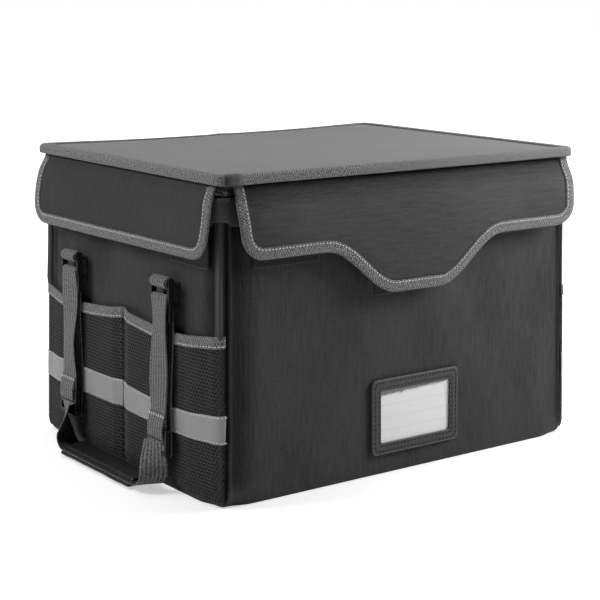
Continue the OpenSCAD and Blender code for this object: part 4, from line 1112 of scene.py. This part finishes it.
mouthProfile = np.array([(10.6, 1.25), (10.4, 1.55), (8, 1.62), (3, 1.62), (0.9, 1.4), (0.0, 0.55), (0.9, -0.35),
    (3, -0.5), (10.2, -0.5), (10.6, -0.2)])
for side in ("left", "right"):
    for end, sign in (("front", 1), ("rear", -1)):
        points = roundWall(side, sign * netLocal[:, 0], netLocal[:, 1], netLocal[:, 2])
        net = facing(looseMesh(f"{side}{end.title()}PocketNet", points, netFaces, "knit"), sides[side])
        net.data.attributes.new("crown", "FLOAT", "POINT").data.foreach_set("value", crown)
        place(net, "body", "mesh_fabric", f"{side}_pocket_{end}")
        endOf = pocketEnd(pocket["top"])
        tapeU = np.linspace(pocket["start"] - 0.4, endOf + 0.2, 84)
        mouthV = pocketMouth(tapeU)
        out = pocketOut(tapeU, mouthV)
        tuck = 1 - 0.75 * np.exp(-((tapeU - pocket["start"]) / 1.4) ** 2) - 0.5 * ease((tapeU - endOf + 3) / 3)
        rows = np.stack([roundWall(side, sign * tapeU, mouthV - w * (0.96 + 0.04 * tuck),
            np.maximum(out + n * tuck, 0.1)) for w, n in mouthProfile])
        uv = mapAlong(tapeU, roundOf(mouthProfile))
        tape = outwards(gridPiece(f"{side}{end.title()}MouthTape", rows, uv, "tape", wrapRows=True, caps=True))
        place(tape, "body", "binding_tape", *([side + "_pocket_binding"] if end == "front" else []))

        def sewAlong(u, v, n):
            row = roundWall(side, sign * u, v, n)
            sew("body", "threadLight", row, roundWall(side, sign * u, v, n + 1.0) - row)
        sewAlong(tapeU[2:-1], mouthV[2:-1] - 8.6, out[2:-1] + 1.75)

        gridU, share = np.meshgrid(np.linspace(pocket["start"] - 0.3, pocketEnd(70) + 0.2, 92), np.linspace(0, 1, 10))
        droop = np.sin(math.pi * along(gridU, 70)) * (1 if end == "front" else 0.15)
        gridV = pocket["stripLow"] - 2 * droop + (pocket["stripHigh"] - pocket["stripLow"] - 2.5 * droop) * share
        lift = 1.15 + 0.25 * np.exp(-((share - 0.5) / 0.36) ** 2)
        nearSeam = np.exp(-((gridU - pocket["start"]) / 1.2) ** 2)
        lift = lift - 0.7 * nearSeam - 0.5 * ease((gridU - pocketEnd(70) + 3) / 3)
        stripPoints = roundWall(side, sign * gridU, gridV, pocketOut(gridU, gridV) + lift)
        strip = facing(gridPiece(f"{side}{end.title()}ReflectiveStrip", stripPoints, np.stack([gridU, gridV], -1),
            "reflective"), sides[side])
        strip = place(thicken(strip, 0.35), "body", "reflective_tape",
            *([side + "_reflective_strip"] if end == "front" else []))
        for level, inset in ((0, 1.5), (-1, -1.5)):
            rowV = gridV[level][2:] + inset
            sewAlong(gridU[0][2:], rowV, pocketOut(gridU[0][2:], rowV) + 1.35)
    for seamV, out in ((np.linspace(158, 240, 60), -0.2), (np.linspace(6, 140, 80), 0.75)):
        sew("body", "threadDark", onWall(side, 0, seamV, out), sides[side])
print("pockets made")

# Handles. The webbing's line is the solids' own: a place and the direction of its width, in the wall's frame.
strap = dict(centre=81, barV=187.5, barN=10.9, barR=2.6, step=13.5, foldR=2.8, backN=7.6, tailV=30, slotV=47.6,
    gripN=21.3, gripV=6, bend=15, frontSwing=4.5, rearSwing=-3.5)


def strapLine(shift):
    foldV, out, back = strap["barV"] - strap["step"], strap["barN"] + strap["foldR"], strap["barN"] - strap["foldR"]
    centre = strap["centre"]
    places, widths = [], []

    def put(p, w):
        places.append(p)
        widths.append(w)
    for v in np.concatenate([strap["tailV"] + np.array([0, 0.6, 1.6, 3, 5]), np.linspace(38, foldV, 40)[:-1]]):
        end = math.sqrt(max(0.04, 1 - max(0, 1 - (v - strap["tailV"]) / 6) ** 2))
        turn = math.radians(5 * math.sin((v - 40) / 21))
        behind = strap["backN"] + (back - strap["backN"]) * float(ease((v - 150) / 20)) + 0.3 * math.sin(v / 15)
        put((centre, v, behind), (-end * math.cos(turn), 0, -end * math.sin(turn)))
    for a in np.linspace(math.pi, 0, 13):
        put((centre, foldV + strap["foldR"] * math.sin(a), strap["barN"] + strap["foldR"] * math.cos(a)), (-1, 0, 0))
    for v in np.linspace(foldV, strap["slotV"] + 1.6, 48)[1:]:
        free = math.sin(math.pi * min(1, max(0, (v - 72) / 100))) ** 0.5 if v > 72 else 0.0
        turn = math.radians(7.5 * math.sin(math.pi * (v - 72) / 58) * free)
        put((centre + 0.8 * math.sin(v / 13) * free, v, out + 0.7 * math.sin((v - 72) / 16) * free),
            (-math.cos(turn), 0, math.sin(turn)))
    for v, n in ((strap["slotV"] - 0.2, 14.6), (strap["slotV"] - 0.9, 16.9)):
        put((centre, v, n), (-1, 0, 0))
    radius = strap["bend"]
    for t in np.linspace(0, 1, 22):
        a = math.radians(16 + 44 * t ** 1.3)
        v = strap["slotV"] - 2 + (strap["gripV"] + radius - strap["slotV"] + 2) * t
        put((centre + shift * float(ease(t)), v, 18 + (strap["gripN"] - 18) * float(ease(t))),
            (-math.cos(a), 0, math.sin(a)))
    for turn in np.linspace(0, math.pi / 2, 16)[1:]:
        a = math.radians(60 + 30 * (turn * 2 / math.pi) ** 0.8)
        put((centre + shift - radius + radius * math.cos(turn), strap["gripV"] + radius - radius * math.sin(turn),
            strap["gripN"]), (-math.cos(a) * math.cos(turn), math.cos(a) * math.sin(turn), math.sin(a)))
    return np.array(places), np.array(widths)


webSection = np.array([(-12.5, 0), (-12.2, 0.5), (-11, 0.65), (-6, 0.65), (0, 0.65), (6, 0.65), (11, 0.65),
    (12.2, 0.5), (12.5, 0), (12.2, -0.5),
    (11, -0.65), (6, -0.65), (0, -0.65), (-6, -0.65), (-11, -0.65), (-12.2, -0.5)])


def ribbon(name, side, places, widths, material, section=webSection):
    along = np.gradient(places, axis=0)
    thick = np.cross(along, widths)
    thick /= np.linalg.norm(thick, axis=1)[:, None]
    rows = np.stack([places + a * widths + b * thick for a, b in section])
    rows = onWall(side, rows[..., 0], rows[..., 1], rows[..., 2])
    uv = mapAlong(lengths(places), roundOf(section))
    return outwards(gridPiece(name, rows, uv, material, wrapRows=True, caps=True))


# A node's own mesh with its edges softened
def softened(name, node, material, body, slot, width=0.35):
    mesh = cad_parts[node].data.copy()

    def clean(work):
        bmesh.ops.remove_doubles(work, verts=work.verts, dist=1e-6)
        bmesh.ops.dissolve_limit(work, angle_limit=math.radians(1), verts=work.verts, edges=work.edges)
    remade(mesh, clean)
    mesh.materials.clear()
    mesh.materials.append(materials[material])
    piece = newPiece(name, mesh)
    modify(piece, "BEVEL", width=width * mm, segments=3, limit_method="ANGLE", angle_limit=math.radians(35),
        use_clamp_overlap=True)
    settle(piece)
    piece.data.shade_smooth()
    settle(modify(piece, "WEIGHTED_NORMAL", keep_sharp=True))
    return place(piece, body, slot, node)


def anchorPiece(side):
    parts, tabs = [], []
    for sign in (-1, 1):
        centre = sign * strap["centre"]
        inner = strap["barR"] + 0.2
        for k, radius in enumerate((inner + 0.65, inner + 1.95)):
            turn = np.radians(np.linspace(-178, 172, 40))
            wob = 0.12 * np.sin(3 * turn + k)
            places = np.column_stack([np.full(40, centre), strap["barV"] + (radius + wob) * np.sin(turn),
                strap["barN"] + (radius + wob) * np.cos(turn)])
            parts.append(ribbon(f"loop{sign}{k}", side, places[::-1] if k else places,
                np.tile([-1.0 if k else 1.0, 0, 0], (40, 1)), "webbing"))
        over = np.array([(centre, v, n) for v, n in ((162, 2.0), (169, 2.0), (176, 2.0), (181, 2.3), (184, 3.4),
            (185.8, 5.0))])
        under = np.array([(centre, v, 0.7) for v in np.linspace(162, 188, 10)])
        # The tabs take the black webbing, which is painted shade
        tabs += [ribbon(f"tab{sign}{k}", side, line, np.tile([-1.0, 0, 0], (len(line), 1)), "webbingPaintedShade") for k,
            line in enumerate((over, under))]
        across = np.linspace(-10, 10, 12) + centre
        for v in (163.5, 167, 175):
            sew("body", "threadDark", onWall(side, across, v, 2.8), sides[side])
    place(joinPieces(side + "AnchorLoops", parts), "body", "webbing", side + "_anchor_loops")
    place(joinPieces(side + "AnchorTabs", tabs), "body", "webbing")


# The grip is leather folded round the webbing, sewn shut along a ridge
def gripPiece(side):
    foot, mid, inner, outer = 1.5, strap["gripN"], 7.7, 34.8
    key = np.array([(foot + 0.2, inner + 3), (foot + 0.6, inner + 0.9), (foot + 3, inner), (foot + 7.2, inner + 0.5),
        (foot + 9.4, inner + 3),
        (foot + 9.2, mid - 3), (foot + 8.0, mid + 3.4), (foot + 7.7, mid + 5.2), (foot + 8.5, mid + 6.0),
        (foot + 8.3, mid + 6.9),
        (foot + 7.0, mid + 7.3), (foot + 5.6, mid + 9), (foot + 3.8, outer - 1.2), (foot + 1.9, outer),
        (foot + 0.5, outer - 0.8), (foot, outer - 4), (foot, mid)])
    fine = []
    count = len(key)
    for i in range(count):
        p0, p1, p2, p3 = key[i - 1], key[i], key[(i + 1) % count], key[(i + 2) % count]
        for t in (0, 0.25, 0.5, 0.75):
            line = 2 * p1 + (p2 - p0) * t
            fine.append(0.5 * (line + (2 * p0 - 5 * p1 + 4 * p2 - p3) * t * t + (3 * p1 - p0 - 3 * p2 + p3) * t ** 3))
    fine = np.array(fine)
    fine[:, 0] = np.maximum(fine[:, 0], foot)
    us = np.concatenate([[-62, -61.7, -61], np.linspace(-59.5, 59.5, 60), [61, 61.7, 62]])
    centre = np.array([foot + 4.4, mid])
    rows = []
    for v, n in fine:
        pull = 1 - 0.10 * np.clip((np.abs(us) - 60.6) / 1.4, 0, 1) ** 2
        dent = 0.35 * swell(us, n * 1.0 + v * 2, 34, 71)
        offset = np.array([v, n]) - centre
        length = np.linalg.norm(offset)
        scale = pull * (1 + (dent - 0.25) / length)
        rows.append(np.stack([us, np.maximum(centre[0] + offset[0] * scale, foot), centre[1] + offset[1] * scale],
            -1))
    rows = np.stack(rows)
    uv = mapAlong(us, roundOf(fine))
    grip = outwards(gridPiece(side + "LeatherGrip", onWall(side, rows[..., 0], rows[..., 1], rows[..., 2]), uv,
        "leather", wrapRows=True, caps=True))
    place(grip, side + "_handle", "leather", side + "_grip")
    line = np.linspace(-58, 58, 80)
    up = onWall(side, 0, 1, 0) - onWall(side, 0, 0, 0)
    sew(side + "_handle", "threadDark", onWall(side, line, foot + 7.95, mid + 4.3), up)


for side in ("left", "right"):
    half, widths = strapLine(strap["frontSwing"])
    otherHalf, otherWidths = (line[::-1] * [-1, 1, 1] for line in strapLine(strap["rearSwing"]))
    middle = np.array([(u, strap["gripV"], strap["gripN"]) for u in np.linspace(62, -62, 20)])
    places = np.vstack([half, middle, otherHalf])
    allWidths = np.vstack([widths, np.tile([0, 0, 1.0], (20, 1)), otherWidths])
    web = ribbon(side + "HandleWebbing", side, places, allWidths, "webbing")
    place(web, side + "_handle", "webbing", side + "_webbing")
    anchorPiece(side)
    gripPiece(side)
    softened(side + "Buckles", side + "_buckles", "plastic", side + "_handle", "black_plastic")
    for end in ("front", "rear"):
        softened(f"{side}{end.title()}Slider", f"{side}_{end}_slider", "plastic", f"{side}_{end}_slider",
            "black_plastic")
    # The webbing's end is sewn over each slider's front, above its slot
    for end, sign in (("front", 1), ("rear", -1)):
        line = [(72, 14.5), (70.5, 14.9), (68, 15.3), (64, 16.2), (60, 16.9), (55, 17.1), (51.5, 17.0), (49.6, 16.4),
            (48.9, 15.2), (48.8, 14.2)]
        places = evenly(np.array([(sign * strap["centre"] - 0.6, v, n) for v, n in line]), 1.2)
        wrap = ribbon(f"{side}{end.title()}SliderWrap", side, places, np.tile([-1.0, 0, 0], (len(places), 1)),
            "webbing")
        place(wrap, f"{side}_{end}_slider", "webbing")
        across = np.linspace(-11.4, 11.4, 16) + sign * strap["centre"] - 0.6
        for v in (69.2, 70.4):
            sew(f"{side}_{end}_slider", "threadLight", onWall(side, across, v, 15.75), sides[side])
    softened(side + "Rail", side + "_rail", "rail", "body", "rail_metal", 0.3)
print("handles and rails made")

# Label holder on the front wall: backing, card, film, frame
label = dict(u=8, low=19.7, width=102.5, height=69.5)
labelMid = label["low"] + label["height"] / 2


def frontFace(u, v, n):
    return onWall("front", u, v, n)


backing = facing(patch("labelBacking", frontFace, label["u"] - 51.2, label["u"] + 51.2, label["low"],
    label["low"] + label["height"], 0.1, 1.1, "labelLeather", radius=5), sides["front"])
place(backing, "body", "leather", "label_backing")
frameSection = [(0.2, 1.3), (0, 1.8), (0, 2.9), (0.5, 3.4), (1.6, 3.6), (2.4, 3.45), (2.9, 3.2), (3.4, 3.45),
    (4.4, 3.6), (6.4, 3.6), (7.1, 3.45), (7.6, 3.2),
    (8.1, 3.45), (9.2, 3.5), (10.1, 3.2), (10.5, 2.7), (10.4, 2.4), (6.8, 2.35), (6.4, 1.35)]
labelRing = roundRing(4, label["width"] / 2, label["height"] / 2, 5, 8)


def labelLoop(inset, n):
    radius = max(2.2, 5 - 0.3 * inset)
    flat = ringPoints(labelRing, label["width"] / 2 - inset, label["height"] / 2 - inset, radius)
    return frontFace(flat[:, 0] + label["u"], flat[:, 1] + labelMid, n)


frameReach = ringReach(labelRing, label["width"] / 2, label["height"] / 2, 5)


def labelBand(name, section, material, *nodes):
    rows = np.stack([labelLoop(w, n) for w, n in section])
    band = gridPiece(name, rows, mapAlong(frameReach, roundOf(section)), material, wrapCols=True, wrapRows=True)
    place(outwards(band), "body", "leather", *nodes)


labelBand("labelFrame", frameSection, "labelLeather", "label_frame")
for inset in (2.9, 7.6):
    row = labelLoop(inset, 3.5)
    sew("body", "threadThick", np.vstack([row, row[:1]]), sides["front"])
# Its cut edge shows paler than its face
edgeSection = [(0.2, 1.9), (-0.25, 2.2), (-0.3, 2.9), (0.1, 3.4), (0.6, 3.62), (0.9, 3.5), (0.5, 2.6)]
labelBand("labelCutEdge", edgeSection, "cutEdge")
halfCardW, halfCardH = label["width"] / 2 - 6.6, label["height"] / 2 - 6.6
card = facing(patch("labelCard", frontFace, label["u"] - halfCardW, label["u"] + halfCardW, labelMid - halfCardH,
    labelMid + halfCardH, 1.36, 0.36, "card", radius=1.5, rim=0.1), sides["front"])
place(card, "label_card", "card", "label_card")
filmU, filmV = np.meshgrid(np.linspace(label["u"] - 44.4, label["u"] + 44.4, 24),
    np.linspace(labelMid - 28, labelMid + 28, 18))
film = facing(gridPiece("labelFilm", frontFace(filmU, filmV, 2.12 + 0.08 * swell(filmU, filmV, 30, 91)),
    np.stack([filmU, filmV], -1), "film"), sides["front"])
place(thicken(film, 0.15), "body", "clear_film", "label_window")
# Painted reflection: a ragged pale band along the window's top stands for the film's glare
random = np.random.default_rng(17)
glareU = np.linspace(label["u"] - 43.5, label["u"] + 43.5, 88)
glareDrop = 5.2 + np.linspace(2.2, -0.6, 88) + np.abs(np.convolve(random.normal(0, 1.4, 92), np.ones(3) / 3,
    "same"))[2:-2]
glareRows = [np.stack([glareU, labelMid + 28.6 - k * glareDrop], -1) for k in (0, 0.5, 1)]
glare = facing(gridPiece("labelFilmPaintedGlare", np.stack([frontFace(r[:, 0], r[:, 1], 2.3 + 0.25 * k * (-1) ** k) for k,
    r in enumerate(glareRows)]), np.stack(glareRows), "filmGlare"), sides["front"])
place(thicken(glare, 0.15), "body", "clear_film")
print("label holder made")

# The hinge is one strip of cloth from the back wall to the underside of the lid
hingePath = [(155.5, 246), (155.25, 252), (155.0, 258), (154.75, 264), (154.5, 268.0), (154.6, 270.4),
    (155.2, 272.4), (156.6, 273.7), (158.8, 274.6), (161.5, 275.3), (164.5, 276.0)]
hingePath = evenly(np.array(hingePath), 1.2)
hingeX = np.linspace(-175, 175, 60)
hingePoints = np.stack([np.column_stack([hingeX, np.full(60, y) + 0.12 * swell(hingeX, z, 40, 95),
    np.full(60, z)]) for y, z in hingePath])
hingePoints[..., 2] += lidDroop(hingePoints[..., 0],
    hingePoints[..., 1]) * 0.8 * ease((hingePoints[..., 2] - 270) / 5)
hinge = facing(gridPiece("clothHinge", hingePoints, mapAlong(hingeX, lengths(hingePath)), "wall"), sides["back"])
thicken(hinge, 0.8)
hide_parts("hinge_body_strip", "hinge_lid_strip")
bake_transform(hinge)
for level in (248, 251):
    sew("body", "threadMid", onWall("back", hingeX, level, 2.9), sides["back"])


# Stitches along sewn lines. Each line carries the way its stitches face.
def stitchTree():
    tree, given = startTree("stitchRow", 7, Spacing=3.2 * mm, Length=2.2 * mm, Width=0.6 * mm, Height=0.4 * mm)
    line = addNode(tree, "GeometryNodeMeshToCurve", None, {0: given["Geometry"]})
    spaced = addNode(tree, "GeometryNodeResampleCurve", {"mode": "LENGTH"},
        {"Curve": line, "Length": given["Spacing"]})
    facingWay = addNode(tree, "GeometryNodeInputNamedAttribute", {"data_type": "FLOAT_VECTOR"}, {"Name": "facing"})
    tangent = addNode(tree, "GeometryNodeInputTangent")
    turned = addNode(tree, "FunctionNodeAxesToRotation", {"primary_axis": "X", "secondary_axis": "Z"},
        {"Primary Axis": tangent, "Secondary Axis": facingWay})
    bead = addNode(tree, "GeometryNodeMeshUVSphere", None, {"Segments": 6, "Rings": 4, "Radius": 0.5})
    size = addNode(tree, "ShaderNodeCombineXYZ", None, {0: given["Length"], 1: given["Width"], 2: given["Height"]})
    vary = addNode(tree, "FunctionNodeRandomValue", {"data_type": "FLOAT"}, {2: 0.86, 3: 1.14, "Seed": given["Seed"]})
    scaled = addNode(tree, "ShaderNodeVectorMath", {"operation": "SCALE"}, {0: size, "Scale": vary.outputs[1]})
    laid = addNode(tree, "GeometryNodeInstanceOnPoints", None,
        {"Points": spaced, "Instance": bead, "Rotation": turned, "Scale": scaled})
    real = addNode(tree, "GeometryNodeRealizeInstances", None, {0: laid})
    return finishTree(tree, real, given)


stitches = stitchTree()
threadLook = {"threadLight": (3.6, 2.5, 1.05, 0.5), "threadMid": (2.6, 2.0, 0.6, 0.4),
    "threadDark": (3.3, 2.2, 0.95, 0.35), "threadThick": (4.2, 2.9, 1.5, 0.6)}
for (body, thread), rows in stitchRows.items():
    points, edges, ways = [], [], []
    for row, way in rows:
        start = len(points)
        points += (row * mm).tolist()
        ways += (way / np.linalg.norm(way, axis=1)[:, None]).tolist()
        edges += [(start + i, start + i + 1) for i in range(len(row) - 1)]
    mesh = bpy.data.meshes.new("sewnLines")
    mesh.from_pydata(points, edges, [])
    mesh.attributes.new("facing", "FLOAT_VECTOR", "POINT").data.foreach_set("vector", np.array(ways).ravel())
    seam = newPiece(f"{body}_{thread}", mesh)
    spacing, length, width, height = (value * mm for value in threadLook[thread])
    runTree(seam, stitches, Spacing=spacing, Length=length, Width=width, Height=height, Material=materials[thread])
    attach(seam, body)
print("seams sewn:", len(stitchRows))

# Stage: a pale floor, soft lamps, a plain world
floorMaterial, floorTree, floorShader = startMaterial("paperSweepMatte", "#f2f2f2", 0.9)
seen = addNode(floorTree, "ShaderNodeLightPath")
fromMiddle = addNode(floorTree, "ShaderNodeVectorMath", {"operation": "LENGTH"},
    {0: addNode(floorTree, "ShaderNodeTexCoord").outputs["Object"]}).outputs["Value"]
farGlow = calc(floorTree, "MULTIPLY_ADD", addNode(floorTree, "ShaderNodeMapRange",
    {"interpolation_type": "SMOOTHSTEP"}, {0: fromMiddle, 1: 0.3, 2: 1.0}), 0.9, 0.5)
glow = addNode(floorTree, "ShaderNodeEmission", None,
    {"Color": (1, 1, 1, 1), "Strength": calc(floorTree, "MULTIPLY", seen.outputs["Is Camera Ray"], farGlow)})
both = addNode(floorTree, "ShaderNodeAddShader", None, {0: floorShader, 1: glow})
floorTree.links.new(both.outputs[0], [n for n in floorTree.nodes if n.type == "OUTPUT_MATERIAL"][0].inputs[0])
floorMesh = bpy.data.meshes.new("floor")
reach = 9
floorMesh.from_pydata([(-reach, -reach, 0), (reach, -reach, 0), (reach, reach, 0), (-reach, reach, 0)], [],
    [(0, 1, 2, 3)])
floorMesh.materials.append(floorMaterial)
floor = newPiece("floor", floorMesh)

world = bpy.data.worlds.new("studio")
scene.world = world
world.use_nodes = True
worldTree = world.node_tree
worldTree.nodes.clear()
path = addNode(worldTree, "ShaderNodeLightPath")
isSeen = calc(worldTree, "MAXIMUM", path.outputs["Is Camera Ray"], path.outputs["Is Transmission Ray"])
dim = addNode(worldTree, "ShaderNodeBackground", None, {"Color": (1, 1, 1, 1), "Strength": 0.05})
white = addNode(worldTree, "ShaderNodeBackground", None, {"Color": (1, 1, 1, 1), "Strength": 1.0})
addNode(worldTree, "ShaderNodeOutputWorld", None, {0: addNode(worldTree, "ShaderNodeMixShader", None,
    {0: isSeen, 1: dim, 2: white})})


def lamp(name, power, size, at, aim):
    light = bpy.data.lights.new(name, "AREA")
    light.shape, light.energy, light.size, light.size_y = "RECTANGLE", power, size[0], size[1]
    holder = newPiece(name, light)
    holder.location = at
    holder.rotation_euler = (Vector(aim) - Vector(at)).to_track_quat("-Z", "Y").to_euler()


lamp("overhead", 16.5, (1.8, 1.8), (0.2, 0.45, 2.2), (0, 0, 0.2))
lamp("rightKey", 8.2, (0.4, 0.4), (0.72, -0.5, 0.6), (0.1, -0.1, 0.15))
lamp("leftKey", 11.2, (0.6, 0.6), (-1.15, 0.45, 1.05), (-0.1, 0, 0.15))

cameraLook = dict(at=(-0.9091, -1.2225, 0.4436), yaw=36.43, pitch=11.53, roll=0.20, lens=94.4)
camera = newPiece("camera", bpy.data.cameras.new("camera"))
yaw, pitch, roll = (math.radians(cameraLook[k]) for k in ("yaw", "pitch", "roll"))
forward = Vector((math.sin(yaw) * math.cos(pitch), math.cos(yaw) * math.cos(pitch), -math.sin(pitch)))
right = Vector((math.cos(yaw), -math.sin(yaw), 0))
upward = right.cross(forward)
tiltedRight = math.cos(roll) * right + math.sin(roll) * upward
tiltedUp = -math.sin(roll) * right + math.cos(roll) * upward
camera.matrix_world = Matrix.Translation(cameraLook["at"]) @ Matrix((tiltedRight, tiltedUp,
    -forward)).transposed().to_4x4()
camera.data.lens, camera.data.sensor_width = cameraLook["lens"], 36
camera.data.clip_start, camera.data.clip_end = 0.05, 50
scene.camera = camera
scene.view_settings.view_transform = "Standard"
